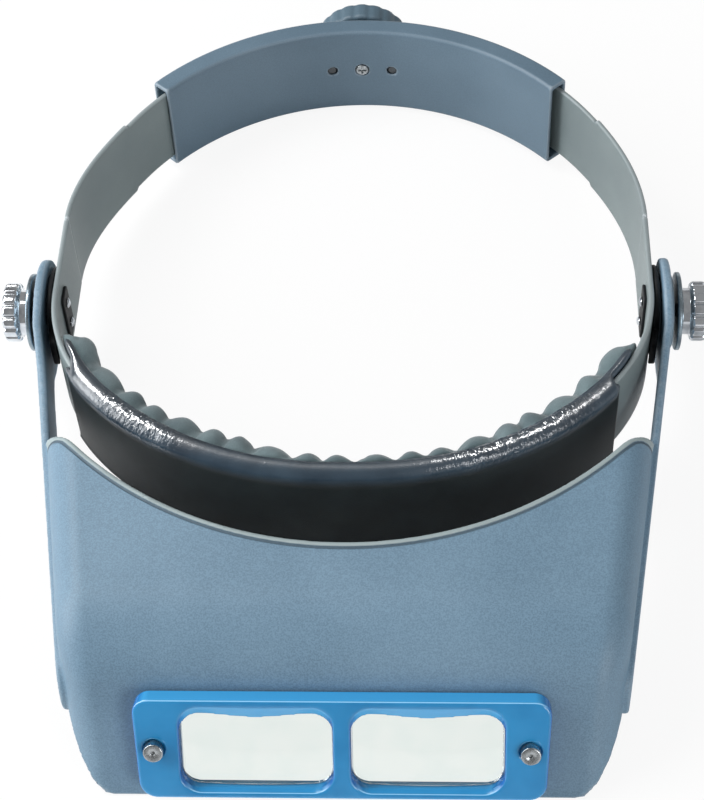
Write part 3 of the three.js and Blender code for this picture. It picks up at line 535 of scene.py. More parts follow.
WALL = 2.2
TOP_SLOPE = math.radians(5.0)
BEND_Y, BEND_Z = -112.7, 4.3
BEND_RADIUS = 12.0
FRONT_HEIGHT = 48.0
LOWER_CORNER = 14.0
EDGE_RADIUS = 10.0
SHELL_LOW, SHELL_HIGH = extent("visor_shell")
ARM_OUTER = SHELL_HIGH[0]
ARM_THICK = 2.4
RIB_PROUD = 1.5
WALL_HALF = ARM_OUTER - RIB_PROUD
LOWER_REAR_Z = -20.5
ARM_DIP = math.radians(11.0)
ARM_LENGTH, ARM_END_RADIUS, ARM_HALF_WIDTH = 120.0, 14.5, 10.0
TOE_IN_START_Y, TOE_IN = -14.0, 0.152
RIM_ROUND = 0.8
BEAD_RADIUS = 0.85
BEAD_PROUD = 0.35
PIVOT_BORE = 2.2
PIN_X, PIN_HOLE = 48.2, 1.8
WINDOW_DROP, WINDOW_HALF_WIDTH, WINDOW_HALF_HEIGHT, WINDOW_CORNER = 0.75, 43.5, 13.55, 6.0


def toe_in(y):
    return TOE_IN * np.minimum(0, y - TOE_IN_START_Y)


def hood_planes(x, y, z):
    """Distances to the hood's top, front and side faces."""
    top = (z - BEND_Z - (y - BEND_Y) * math.tan(TOP_SLOPE)) * math.cos(TOP_SLOPE)
    front = (y - BEND_Y) * FRONT_OUT[1] + (z - BEND_Z) * FRONT_OUT[2]
    side = np.abs(x) * WALL_HALF / (WALL_HALF + toe_in(y)) - WALL_HALF
    return top, front, side


def wall_field(x, y, z):
    """Hood walls, with the scooped rear rim, the sloping lower edge and a bead round the rim."""
    top, front, side = hood_planes(x, y, z)
    skin = meet(meet(top, front, BEND_RADIUS), side, EDGE_RADIUS)
    inner_side = side + WALL + 0.3
    inner = meet(meet(top + WALL, front + WALL, BEND_RADIUS - WALL), inner_side, EDGE_RADIUS - 1.3)
    foot_y = BEND_Y - FRONT_HEIGHT * FRONT_UP[1]
    foot_z = BEND_Z - FRONT_HEIGHT * FRONT_UP[2]
    fall = math.atan2(LOWER_REAR_Z - foot_z, WALL_REAR_Y - foot_y)
    lower = (y - foot_y) * math.sin(fall) - (z - foot_z) * math.cos(fall)
    rear = y - WALL_REAR_Y + SHOULDER_BACK * smooth(z, -9.0, 10.0)
    scoop = SCOOP_RADIUS - length(x, y - SCOOP_Y - SCOOP_RADIUS)
    rim = meet(scoop, rear, HORN_ROUND)
    walls = meet(carve(skin, inner), meet(rim, lower, 5.0), RIM_ROUND)
    walls = meet(walls, meet(lower, side, LOWER_CORNER))
    bead = length(rim + BEAD_RADIUS, skin + BEAD_RADIUS - BEAD_PROUD) - BEAD_RADIUS
    return unite(walls, meet(bead, -z - 14.0), 0.1)


def arm_field(x, y, z):
    """Both arms: a round end on the pivot and a straight strip forward along the side wall."""
    along = -(y * math.cos(ARM_DIP) + z * math.sin(ARM_DIP))
    beside = -y * math.sin(ARM_DIP) + z * math.cos(ARM_DIP)
    middle, reach = (ARM_LENGTH - 5) / 2, (ARM_LENGTH + 5) / 2
    strip = panel(along - middle, beside, reach, ARM_HALF_WIDTH, ARM_HALF_WIDTH)
    outline = unite(length(y, z) - ARM_END_RADIUS, strip, 14.0)
    depth = slab(np.abs(x) - toe_in(y), ARM_OUTER - ARM_THICK, ARM_OUTER)
    return meet(outline, depth, 0.7)


def opening_field(x, y, z):
    """The window behind the lens plate and the two sockets for its pins."""
    ahead, rise = y - PLATE_CENTRE[1], z - PLATE_CENTRE[2]
    up = ahead * FRONT_UP[1] + rise * FRONT_UP[2]
    out = ahead * FRONT_OUT[1] + rise * FRONT_OUT[2]
    near = slab(out, -15.0, 5.0)
    window = panel(x, up + WINDOW_DROP, WINDOW_HALF_WIDTH, WINDOW_HALF_HEIGHT, WINDOW_CORNER)
    sockets = length(np.abs(x) - PIN_X, up) - PIN_HOLE
    return unite(meet(window, near), meet(sockets, near))


def shell_field(x, y, z):
    body = unite(wall_field(x, y, z), arm_field(x, y, z), 0.5)
    bore = length(y, z) - PIVOT_BORE
    return carve(meet(body, -bore, 0.3), opening_field(x, y, z), 0.4)


shell_shape = surface(shell_field, SHELL_LOW, SHELL_HIGH, 0.75)
piece("visor_shell_fine", shell_shape, "visor", "shell", SHELL, "visor_shell")

# ---- lens plate

PLATE_HALF_WIDTH, PLATE_HALF_HEIGHT, PLATE_THICK = 52.75, 14.5, 5.2
PLATE_TAPER = 0.04  # half width gained per millimetre up the plate
APERTURE_X = 22.0
APERTURE_HALF_WIDTH, APERTURE_TOP, APERTURE_BOTTOM = 19.8, 12.5, -13.2
BEZEL_DEPTH = 1.6
LENS_HALF_WIDTH, LENS_HALF_HEIGHT = 19.5, 12.2
LENS_DOME = 150.0


def aperture_field(x, y, z):
    """Opening with a bevelled bezel that dips along its top, and a deeper rabbet behind it for the lens."""
    u = np.abs(x) - APERTURE_X
    share = np.clip(-z / BEZEL_DEPTH, 0, 1)
    dip = 1.2 * (1 + np.cos(np.pi * np.clip(u / 15.0, -1, 1))) / 2
    top = APERTURE_TOP - share * (2.9 + dip)
    bottom = APERTURE_BOTTOM + 0.8 * share
    bezel = panel(u, y - (top + bottom) / 2, APERTURE_HALF_WIDTH - 0.15 * share, (top - bottom) / 2, 5.5)
    rabbet = meet(panel(u, y, LENS_HALF_WIDTH + 0.2, LENS_HALF_HEIGHT + 0.2, 4.8), z + BEZEL_DEPTH)
    return np.minimum(bezel, rabbet)


def plate_field(x, y, z):
    half_width = PLATE_HALF_WIDTH + 0.3 + PLATE_TAPER * y
    body = meet(panel(x, y + 0.2, half_width, PLATE_HALF_HEIGHT + 0.2, 4.6), slab(z, -PLATE_THICK, 0), 0.7)
    body = carve(body, aperture_field(x, y, z), 0.3)
    beside_pin = length(np.abs(x) - PIN_X, y)
    body = carve(body, meet(beside_pin - 2.95, -z - 0.6), 0.15)
    return carve(body, beside_pin - PIN_HOLE, 0.25)


plate_low = [-PLATE_HALF_WIDTH - 0.9, -PLATE_HALF_HEIGHT - 0.4, -PLATE_THICK]
plate_high = [PLATE_HALF_WIDTH + 0.9, PLATE_HALF_HEIGHT, 0]
plate_shape = placed(surface(plate_field, plate_low, plate_high, 0.4), from_plate)
piece("lens_plate_fine", plate_shape, "lens_set", "plate", PLATE, "lens_plate")


def plate_pair(name, shape, centre, slot, material):
    """The same part on both halves of the plate; centre is the right one's."""
    for hand, sign in (("left", -1), ("right", 1)):
        points = shape[0] + np.array(centre) * [sign, 1.0, 1.0]
        turned = placed((points, shape[1]), from_plate)
        piece(f"{name}_{hand}_fine", turned, "lens_set", slot, material, f"{name}_{hand}")


def lens_field(x, y, z):
    outline = panel(x, y, LENS_HALF_WIDTH, LENS_HALF_HEIGHT, 4.6)
    domed = length(x, y, z + LENS_DOME) - LENS_DOME
    return meet(outline, meet(domed, -z - 2.9, 0.2), 0.3)


lens_low, lens_high = [-LENS_HALF_WIDTH, -LENS_HALF_HEIGHT, -3], [LENS_HALF_WIDTH, LENS_HALF_HEIGHT, 0]
lens_shape = surface(lens_field, lens_low, lens_high, 0.4)
plate_pair("lens", lens_shape, [APERTURE_X, 0.0, -BEZEL_DEPTH - 0.15], "lens", LENS)


def pin_field(x, y, z):
    radial = length(x, y)
    head = meet(radial - 2.6, slab(z, -0.4, 2.4), 0.35)
    shank = meet(radial - 1.5, slab(z, -9.0, 1.0), 0.3)
    recess = meet(radial - 0.55, slab(z, 1.5, 5.0))
    dish = length(x, y, z - 5.3) - 3.2
    return carve(carve(unite(head, shank, 0.2), recess, 0.1), dish, 0.1)


pin_shape = surface(pin_field, [-2.6, -2.6, -9], [2.6, 2.6, 2.4], 0.16)
plate_pair("lens_pin", pin_shape, [PIN_X, 0.0, 0.0], "steel", STEEL)

# ---- rear sleeve and adjuster

GUIDE_OFFSET = 9.8


def sleeve_field(x, y, z):
    """Sleeve in its own polar frame: X along the arc at the middle radius, Y outward, Z up."""
    outer = panel(y, z, SLEEVE_DEEP / 2, SLEEVE_HALF_HEIGHT, 1.1)
    hollow = panel(y, z, SLEEVE_DEEP / 2 - 1.0, SLEEVE_HALF_HEIGHT - 1.4, 0.6)
    ends = np.abs(x) - SLEEVE_END * SLEEVE_MIDDLE
    body = meet(carve(outer, hollow, 0.3), ends, 0.4)
    screw = meet(length(x, z) - 2.3, y)
    shaft = meet(length(x, z) - 3.5, -y)
    guides = meet(length(np.abs(x) - GUIDE_OFFSET, z) - 1.65, y)
    return carve(body, unite(unite(screw, shaft), guides), 0.3)


def around_rear(points):
    angle = points[:, 0] / SLEEVE_MIDDLE
    radius = SLEEVE_MIDDLE + points[:, 1]
    x = radius * np.sin(angle)
    y = REAR_CENTRE_Y + radius * np.cos(angle)
    return np.stack([x, y, points[:, 2]], 1)


arc = SLEEVE_END * SLEEVE_MIDDLE
sleeve_box = [arc, SLEEVE_DEEP / 2, SLEEVE_HALF_HEIGHT]
sleeve_shape = surface(sleeve_field, [-side for side in sleeve_box], sleeve_box, 0.55)
sleeve_shape = placed(sleeve_shape, around_rear)
piece("rear_sleeve_fine", sleeve_shape, "rear_sleeve_body", "sleeve", SLEEVE, "rear_sleeve")

KNOB_LOW, KNOB_HIGH = extent("adjuster_knob")
KNOB_RADIUS = 15.0


def knob_field(x, y, z):
    radial = length(x, y)
    turn = np.arctan2(y, x)
    rim = KNOB_RADIUS - 0.3 * np.abs(np.sin(10 * turn)) ** 4
    wheel = meet(radial - rim, slab(z, KNOB_LOW[1] + 1.8, KNOB_HIGH[1]), 1.2)
    collar = meet(radial - 8.0, slab(z, KNOB_LOW[1], KNOB_LOW[1] + 3.0), 0.4)
    dish = meet(radial - 9.5, KNOB_HIGH[1] - 0.9 - z, 0.4)
    bore = meet(radial - 1.45, z - KNOB_LOW[1] - 4.8)
    return carve(carve(unite(wheel, collar, 0.5), dish, 0.5), bore, 0.1)


knob_low, knob_high = [-KNOB_RADIUS, -KNOB_RADIUS, KNOB_LOW[1]], [KNOB_RADIUS, KNOB_RADIUS, KNOB_HIGH[1]]
knob_shape = surface(knob_field, knob_low, knob_high, 0.4)
piece("adjuster_knob_fine", placed(knob_shape, from_rear), "adjuster", "knob", KNOB, "adjuster_knob")

SCREW_LOW, SCREW_HIGH = extent("knob_screw")


def screw_field(x, y, z):
    radial = length(x, y)
    start = SCREW_LOW[1]
    head = meet(radial - 2.0, slab(z, start, start + 1.3), 0.35)
    shank = meet(radial - 1.2, slab(z, start + 0.8, SCREW_HIGH[1]), 0.15)
    cross = np.minimum(panel(x, y, 0.3, 1.3, 0.15), panel(x, y, 1.3, 0.3, 0.15))
    return carve(unite(head, shank, 0.1), meet(cross, z - start - 0.8), 0.08)


screw_shape = surface(screw_field, [-2, -2, SCREW_LOW[1]], [2, 2, SCREW_HIGH[1]], 0.16)
piece("knob_screw_fine", placed(screw_shape, from_rear), "adjuster", "steel", STEEL, "knob_screw")

# ---- pivot hardware

NUT_LOW, NUT_HIGH = extent("thumb_nut_right")
WASHER_LOW, WASHER_HIGH = extent("outer_washer_right")
SPRING_LOW, SPRING_HIGH = extent("spring_washer_right")
FRICTION_LOW, FRICTION_HIGH = extent("friction_washer_right")
BRACKET_LOW, BRACKET_HIGH = extent("pivot_bracket_right")
BACKING_LOW, BACKING_HIGH = extent("backing_plate_right")
STUD_LOW, STUD_HIGH = extent("pivot_stud_right")
RIVET_HIGH = extent("bracket_rivet_right_upper")[1]
NUT_LOBES = 14
BRACKET_CUT_Y = -11.0
RIVET_UP, RIVET_BORE = 4.2, 1.25
THREAD_START, THREAD_PITCH, THREAD_DEPTH = 91.0, 0.8, 0.12
SPRING_SPHERE = 70.0


def nut_field(x, y, z):
    radial = length(x, y)
    turn = np.arctan2(y, x)
    rim = NUT_HIGH[1] - 0.75 * np.abs(np.sin(NUT_LOBES / 2 * turn)) ** 9
    wheel = meet(radial - rim, slab(z, NUT_HIGH[0] - 4.5, NUT_HIGH[0]), 1.1)
    hub = meet(radial - 6.6, slab(z, NUT_LOW[0], NUT_HIGH[0] - 2.0), 0.4)
    dish = length(x, y, z - NUT_HIGH[0] - 11.0) - 12.0
    bore = meet(radial - PIVOT_BORE, z - NUT_HIGH[0] + 1.0)
    return carve(carve(unite(wheel, hub, 0.5), dish, 0.3), bore, 0.1)


def ring_field(low, high, edge):
    """Flat washer between two corners of its CAD box."""
    def field(x, y, z):
        ring = meet(length(x, y) - high[1], slab(z, low[0], high[0]), edge)
        return carve(ring, length(x, y) - PIVOT_BORE, 0.1)
    return field


def spring_field(x, y, z):
    """Dished washer: thickest round its bore, thinning to its rim."""
    radial = length(x, y)
    dome = length(radial, z - SPRING_HIGH[0] + SPRING_SPHERE) - SPRING_SPHERE
    body = meet(meet(dome, SPRING_LOW[0] - z, 0.1), radial - SPRING_HIGH[1], 0.15)
    return carve(body, radial - PIVOT_BORE, 0.1)


def stud_field(x, y, z):
    radial = length(x, y)
    head = meet(radial - 2.1, slab(z, STUD_LOW[0], STUD_LOW[0] + 0.85), 0.2)
    turns = z / THREAD_PITCH - np.arctan2(y, x) / (2 * math.pi)
    ridge = THREAD_DEPTH * np.cos(2 * math.pi * turns)
    thread = np.where(z > THREAD_START, ridge - THREAD_DEPTH, 0.0)
    shank = meet(radial - 1.9 - thread, slab(z, STUD_LOW[0] + 0.4, STUD_HIGH[0]), 0.3)
    return unite(head, shank)


def brow_offset(x, y):
    """Signed distance from the strap's middle line, positive outward, near the brow and temples."""
    forward = np.minimum(y - BROW_CENTRE_Y, 0)
    across, depth = np.abs(x) / STRAP_HALF_WIDTH, -forward / BROW_DEPTH
    size = (across ** BROW_FULLNESS + depth ** BROW_FULLNESS) ** (1 / BROW_FULLNESS)
    steep = length(
        (across / np.maximum(size, 1e-6)) ** (BROW_FULLNESS - 1) / STRAP_HALF_WIDTH,
        (depth / np.maximum(size, 1e-6)) ** (BROW_FULLNESS - 1) / BROW_DEPTH,
    )
    return (size - 1) / np.maximum(steep, 1e-6)


def bracket_field(x, y, z):
    """Axle frame: X is the headband's Y, Y is its Z, Z is its X."""
    lobe = meet(length(x, y) - BRACKET_HIGH[2], BRACKET_CUT_Y - x, 1.5)
    flange = panel(x - BRACKET_LOW[1] / 2, y, -BRACKET_LOW[1] / 2, 5.0, 2.0)
    offset = brow_offset(z, x)
    flange = meet(flange, offset - STRAP_THICK / 2 - 2.1, 0.4)
    outline = unite(lobe, flange, 0.6)
    depth = meet(z - BRACKET_HIGH[0], STRAP_THICK / 2 + 0.3 - offset)
    body = meet(outline, depth, 0.5)
    holes = np.minimum(length(x, y) - PIVOT_BORE, length(x, np.abs(y) - RIVET_UP) - RIVET_BORE)
    return carve(body, holes, 0.1)


def backing_field(x, y, z):
    outline = panel(x, y, 3.5, 8.5, 1.5)
    body = meet(outline, slab(z, BACKING_LOW[0], BACKING_HIGH[0]), 0.25)
    return carve(body, length(x, np.abs(y) - RIVET_UP) - RIVET_BORE, 0.1)


def rivet_field(x, y, z):
    shank = meet(length(x, y) - 1.1, slab(z, BACKING_LOW[0] - 0.4, RIVET_HIGH[0]), 0.1)
    dome = meet(length(x, y, z - BACKING_LOW[0] - 0.9) - 1.9, z - BACKING_LOW[0] + 0.15, 0.1)
    return unite(shank, dome, 0.05)


def axle_pieces(name, field, low, high, step, body, slot, material, lift=0.0):
    """The same part on both sides of the headband."""
    points, faces = surface(field, low, high, step)
    right = placed((points + [0, lift, 0], faces), from_side)
    suffix = ("_upper" if lift > 0 else "_lower") if lift else ""
    for hand, shape in (("right", right), ("left", mirrored(right))):
        node = f"{name}_{hand}{suffix}"
        piece(f"{node}_fine", shape, body.format(hand), slot, material, node)


def box(radius, low, high):
    return [-radius, -radius, low[0]], [radius, radius, high[0]]


nut_box = box(NUT_HIGH[1], NUT_LOW, NUT_HIGH)
washer_box = box(WASHER_HIGH[1], WASHER_LOW, WASHER_HIGH)
spring_box = box(SPRING_HIGH[1], SPRING_LOW, SPRING_HIGH)
friction_box = box(FRICTION_HIGH[1], FRICTION_LOW, FRICTION_HIGH)
stud_box = box(2.1, STUD_LOW, STUD_HIGH)
bracket_box = BRACKET_LOW[[1, 2, 0]], BRACKET_HIGH[[1, 2, 0]]
backing_box = [-3.5, -8.5, BACKING_LOW[0]], [3.5, 8.5, BACKING_HIGH[0]]
rivet_box = [-1.9, -1.9, BACKING_LOW[0] - 1.1], [1.9, 1.9, RIVET_HIGH[0]]
washer_field = ring_field(WASHER_LOW, WASHER_HIGH, 0.35)
friction_field = ring_field(FRICTION_LOW, FRICTION_HIGH, 0.2)

axle_pieces("thumb_nut", nut_field, *nut_box, 0.22, "nut_{}", "chrome", CHROME)
axle_pieces("outer_washer", washer_field, *washer_box, 0.3, "washer_{}", "steel", WASHER)
axle_pieces("spring_washer", spring_field, *spring_box, 0.22, "headband", "friction", ARM_BLUE)
axle_pieces("friction_washer", friction_field, *friction_box, 0.25, "headband", "friction", FRICTION)
axle_pieces("pivot_stud", stud_field, *stud_box, 0.16, "headband", "steel", STEEL)
axle_pieces("pivot_bracket", bracket_field, *bracket_box, 0.35, "headband", "bracket", BRACKET)
axle_pieces("backing_plate", backing_field, *backing_box, 0.2, "headband", "bracket", BRACKET)
for level in (-RIVET_UP, RIVET_UP):
    axle_pieces("bracket_rivet", rivet_field, *rivet_box, 0.16, "headband", "chrome", CHROME, level)

# ---- strap

def brow_line(angle):
    """Strap middle line; 0 at the right temple, pi at the left."""
    power = 2 / BROW_FULLNESS
    x = STRAP_HALF_WIDTH * np.sign(np.cos(angle)) * np.abs(np.cos(angle)) ** power
    y = BROW_CENTRE_Y - BROW_DEPTH * np.abs(np.sin(angle)) ** power
    return np.stack([x, y], -1)


angles = np.linspace(0, math.pi, 4001)
line = brow_line(angles)
temple = np.array([[STRAP_HALF_WIDTH, REAR_CENTRE_Y]])
line = np.concatenate([temple, line, temple * [-1, 1]])
run = np.concatenate([[0], np.cumsum(length(*np.diff(line, axis=0).T))])
HALF_RUN = run[-1] / 2


def along_brow(distance):
    """Point and outward normal of the strap's middle line at a distance from its centre, right positive."""
    at = HALF_RUN - distance
    place = np.stack([np.interp(at, run, line[:, axis]) for axis in (0, 1)], -1)
    ahead = np.stack([np.interp(at + 0.4, run, line[:, axis]) for axis in (0, 1)], -1)
    behind = np.stack([np.interp(at - 0.4, run, line[:, axis]) for axis in (0, 1)], -1)
    way = ahead - behind
    way /= length(*way.T)[:, None]
    return place, np.stack([-way[:, 1], way[:, 0]], -1)


def wrap_brow(points):
    """Brow frame (X along the strap, Y outward, Z up) to the headband frame."""
    place, outward = along_brow(points[:, 0])
    flat = place + outward * points[:, 1:2]
    return np.concatenate([flat, points[:, 2:]], 1)


def on_brow(points, faces):
    """The brow frame is left-handed, so the faces are turned over with the points."""
    return wrap_brow(points), faces[:, ::-1]


HINGE_GAP = 0.06
STRAP_RUN = HALF_RUN - HINGE_GAP


def strap_field(x, y, z):
    body = meet(panel(y, z, STRAP_THICK / 2, STRAP_HALF_HEIGHT, 0.55), np.abs(x) - STRAP_RUN, 0.1)
    pivot_run = HALF_RUN - REAR_CENTRE_Y
    return carve(body, length(np.abs(x) - pivot_run, np.abs(z) - RIVET_UP) - RIVET_BORE, 0.1)


strap_box = [STRAP_RUN, STRAP_THICK / 2, STRAP_HALF_HEIGHT]
strap_shape = surface(strap_field, [-side for side in strap_box], strap_box, 0.6)
piece("strap_front_fine", on_brow(*strap_shape), "headband", "strap", STRAP, "strap_front")

TAIL_THICK, TAIL_HALF_HEIGHT = 1.4, 13.0
TAIL_BLEND = math.radians(58.0)
TAIL_STEP_RUN = math.radians(61.0) * STRAP_HALF_WIDTH
TAIL_START_RUN = -math.radians(24.0) * STRAP_HALF_WIDTH
TAIL_END_RUN = math.pi / 2 * STRAP_HALF_WIDTH - HINGE_GAP
RACK_PITCH = math.pi * 1.5
TEETH_EACH_SIDE = 4
TOOTH_TIP_HALF, TOOTH_TIP_Z = 0.26, 4.8
TOOTH_SLOPE = math.tan(math.radians(20.0))


def rack_field(x, z):
    """Slot with four rack teeth each side of the middle along its upper edge."""
    beside = np.abs(x / RACK_PITCH % 1 - 0.5) * RACK_PITCH
    flank = beside - TOOTH_TIP_HALF - (z - TOOTH_TIP_Z) * TOOTH_SLOPE
    tooth = np.maximum(flank * math.cos(math.atan(TOOTH_SLOPE)), TOOTH_TIP_Z - z)
    tooth = np.maximum(tooth, np.abs(x) - TEETH_EACH_SIDE * RACK_PITCH)
    return np.maximum(panel(x, z, 20.5, 7.8, 0.8), -tooth)


def tail_field(rack_edge):
    def field(x, y, z):
        step = smooth(x, TAIL_STEP_RUN - 0.5, TAIL_STEP_RUN + 0.5)
        tall = TAIL_HALF_HEIGHT + (STRAP_HALF_HEIGHT - TAIL_HALF_HEIGHT) * step
        body = meet(np.abs(y) - TAIL_THICK / 2, np.abs(z) - tall, 0.5)
        body = meet(body, slab(x, TAIL_START_RUN, TAIL_END_RUN), 0.1)
        return carve(body, rack_field(x, z * rack_edge), 0.15)
    return field


def around_tail(radius):
    def place(points):
        angle = points[:, 0] / STRAP_HALF_WIDTH
        share = smooth(angle, TAIL_BLEND, math.pi / 2)
        reach = radius + (STRAP_HALF_WIDTH - radius) * share + points[:, 1]
        return np.stack([reach * np.sin(angle), REAR_CENTRE_Y + reach * np.cos(angle), points[:, 2]], 1)
    return place


tail_low = [TAIL_START_RUN, -TAIL_THICK / 2, -STRAP_HALF_HEIGHT]
tail_high = [TAIL_END_RUN, TAIL_THICK / 2, STRAP_HALF_HEIGHT]
TAIL_CLEAR = 0.5
channel_low = SLEEVE_OUTER - SLEEVE_DEEP + 1.0
channel_high = SLEEVE_OUTER - 1.0
outer_place = around_tail(channel_high - TAIL_CLEAR - TAIL_THICK / 2)
inner_place = around_tail(channel_low + TAIL_CLEAR + TAIL_THICK / 2)
tail_right = placed(surface(tail_field(-1), tail_low, tail_high, 0.5), outer_place)
tail_left = placed(surface(tail_field(1), tail_low, tail_high, 0.5), inner_place)
piece("strap_tail_right_fine", tail_right, "tail_right", "strap", STRAP, "strap_tail_right")
piece("strap_tail_left_fine", mirrored(tail_left), "tail_left", "strap", STRAP, "strap_tail_left")

# ---- brow cover

def brow_run(y, side):
    """Distance along the strap from its centre to where it passes y, to the right (+1) or left (-1)."""
    half = run <= HALF_RUN
    return side * (HALF_RUN - np.interp(-y, -line[half, 1], run[half]))


FLAP_RIGHT, FLAP_LEFT = brow_run(-37.0, 1), brow_run(-31.0, -1)
ROLL_RIGHT, ROLL_LEFT = brow_run(-26.5, 1), brow_run(-22.5, -1)
PAD_RIGHT, PAD_LEFT = brow_run(-23.0, 1), brow_run(-19.5, -1)
ROLL_Z, ROLL_HALF_HEIGHT = 13.3, 2.6
ROLL_FULLNESS = 2.3
FLAP_THICK = 1.0
COVER_LOW_Z = extent("sweatband_cover")[0][2]


def flap_offset(x):
    """Outer face of the cover, fuller over the forehead."""
    return 1.9 + 1.6 * smooth(-np.abs(x), -85.0, -15.0)


def seam_offset(x):
    """Inner edge of the roll, further in along the sides."""
    left = smooth(-x, 15.0, 70.0)
    right = smooth(x, 25.0, 75.0)
    return -0.9 - 2.4 * left - 2.4 * right


def cover_field(x, y, z):
    outer = flap_offset(x)
    seam = seam_offset(x)
    flap_z, flap_half = (COVER_LOW_Z + ROLL_Z) / 2, (ROLL_Z - COVER_LOW_Z) / 2
    flap = panel(y - outer + FLAP_THICK / 2, z - flap_z, FLAP_THICK / 2, flap_half, 0.45)
    hem = panel(y - (outer - 1.8) / 2, z - COVER_LOW_Z - 0.65, (outer + 1.8) / 2, 0.65, 0.5)
    sheet = meet(unite(flap, hem, 0.6), slab(x, FLAP_LEFT, FLAP_RIGHT), 0.4)
    taper = length(np.maximum(0, x - ROLL_RIGHT + 7.0), np.maximum(0, ROLL_LEFT + 7.0 - x)) / 7.0
    girth = np.sqrt(np.maximum(0.02, 1 - np.clip(taper, 0, 1) ** 2.5))
    past = smooth(x, FLAP_RIGHT - 2.5, FLAP_RIGHT + 0.5) + smooth(-x, -FLAP_LEFT - 6.0, -FLAP_LEFT + 3.0)
    outer_end = outer - (outer + 0.7) * past
    half = (outer_end - seam) / 2 * girth
    middle = (outer_end + seam) / 2
    tall = ROLL_HALF_HEIGHT * girth
    across, up = np.abs((y - middle) / half), np.abs((z - ROLL_Z) / tall)
    ratio = (across ** ROLL_FULLNESS + up ** ROLL_FULLNESS) ** (1 / ROLL_FULLNESS)
    roll = (ratio - 1) * np.minimum(half, tall)
    roll = meet(roll, slab(x, ROLL_LEFT, ROLL_RIGHT))
    body = unite(sheet, roll, 2.6)
    strap_room = panel(y, z, STRAP_THICK / 2 + 0.2, STRAP_HALF_HEIGHT + 0.25, 0.3)
    body = carve(body, strap_room, 0.1)
    groove_y = seam + 1.0
    lift = 1 - np.abs((groove_y - middle) / half) ** ROLL_FULLNESS
    groove_z = ROLL_Z + tall * np.maximum(lift, 0.01) ** (1 / ROLL_FULLNESS)
    return carve(body, length(y - groove_y, z - groove_z) - 0.22, 0.15)


def wavy(points, size, seed):
    """Smooth noise at points, about -1 to 1, with features about size across."""
    return np.array([noise.noise(Vector(point)) for point in (points / size + seed).tolist()])


def brow_zones(x, z):
    """How much a point of the cover belongs to the roll, is creased, and shines."""
    # roll also sets where the vinyl shader paints its lighter sheen colour
    roll = smooth(z, 8.5, 14.0)
    left = smooth(x, -77.0, -69.0) * (1 - smooth(x, -50.0, -42.0))
    right = smooth(x, 18.0, 36.0) * (1 - smooth(x, 62.0, 84.0))
    crease = roll * (0.15 + 0.85 * np.clip(left + right, 0, 1))
    dull = smooth(x, -50.0, -38.0) * (1 - smooth(x, 12.0, 32.0)) + 0.75 * smooth(x, 52.0, 74.0)
    gloss = np.clip(2.5 * roll - 1.5, 0, 1) * (1 - 0.85 * dull)
    return roll, crease, gloss


def creased(points, roll, crease):
    """Moves the cover's outer face along its normal into creases and slow waves."""
    y, z = points[:, 1], points[:, 2]
    flow = points * [1.0, 0.45, 0.45]
    bend = wavy(flow, 5.0, 3.0)[:, None] * [0.9, 0.0, 0.0]
    folds = 1 - 2 * np.abs(wavy(flow + bend, 1.7, 11.0))
    broad = wavy(flow, 6.5, 29.0)
    outward = slope(cover_field, points, 0.02)
    outward /= np.maximum(length(*outward.T), 1e-6)[:, None]
    lift = 0.18 * crease * folds + 0.12 * roll * broad + 0.08 * wavy(points, 11.0, 5.0)
    exposed = (y > 1.2) | (z > STRAP_HALF_HEIGHT + 0.6)
    return points + outward * (lift * exposed)[:, None]


def make_cover():
    low = [min(FLAP_LEFT, ROLL_LEFT), -5.0, COVER_LOW_Z]
    high = [max(FLAP_RIGHT, ROLL_RIGHT), 3.9, ROLL_Z + ROLL_HALF_HEIGHT]
    points, faces = surface(cover_field, low, high, 0.5)
    x, y, z = points.T
    roll, crease, gloss = brow_zones(x, z)
    shape = on_brow(creased(points, roll, crease), faces)
    cover = piece("sweatband_cover_fine", shape, "headband", "vinyl", VINYL, "sweatband_cover")
    shades = {"roll": roll, "crease": crease, "gloss": gloss, "run": x, "over": y}
    for name, values in shades.items():
        attribute = cover.data.attributes.new(name, "FLOAT", "POINT")
        attribute.data.foreach_set("value", np.asarray(values, np.float32))
    return cover


cover = make_cover()

# ---- ribbed pad

RIBS = 19
PAD_TOP, PAD_BOTTOM = 14.2, -13.6
PAD_BACK = -1.05
PAD_FULLNESS = 2.2
rib_widths = np.concatenate([[1.6, 1.3, 1.15], np.ones(RIBS - 6), [1.1, 1.25, 1.6]])
rib_ends = np.concatenate([[0], np.cumsum(rib_widths)])
RIB_EDGES = PAD_LEFT + rib_ends * (PAD_RIGHT - PAD_LEFT) / rib_widths.sum()


def pad_depth(x):
    """How far the ribs reach inward from the back of the pad."""
    return 3.5 + 4.9 * smooth(-x, 4.0, 42.0) + 4.2 * smooth(x, 24.0, 54.0)


def pad_field(x, y, z):
    share = np.interp(x, RIB_EDGES, np.arange(RIBS + 1))
    share = share + 0.1 * np.sin(share * 2.1)
    crown = np.abs(np.sin(np.pi * share)) ** 1.25
    ends = np.clip(np.minimum(x - PAD_LEFT, PAD_RIGHT - x) / 5.0, 0.02, 1)
    rounding = np.sqrt(1 - (1 - ends) ** 2)
    swell = 1 + 0.12 * np.sin(share * 2.9 + 0.8)
    depth = (pad_depth(x) * 0.7 + (1.25 + 0.04 * pad_depth(x)) * crown * swell) * rounding
    inward = np.maximum(PAD_BACK - y, 0) / depth
    top = PAD_TOP - 0.9 * (1 - crown)
    above = np.maximum(np.maximum(z - top + 5.0, 0) / 5.0, np.maximum(PAD_BOTTOM + 3.0 - z, 0) / 3.0)
    ratio = (inward ** PAD_FULLNESS + above ** PAD_FULLNESS) ** (1 / PAD_FULLNESS)
    body = (ratio - 1) * 2.5
    return meet(meet(body, y - PAD_BACK, 0.5), slab(x, PAD_LEFT, PAD_RIGHT), 0.3)


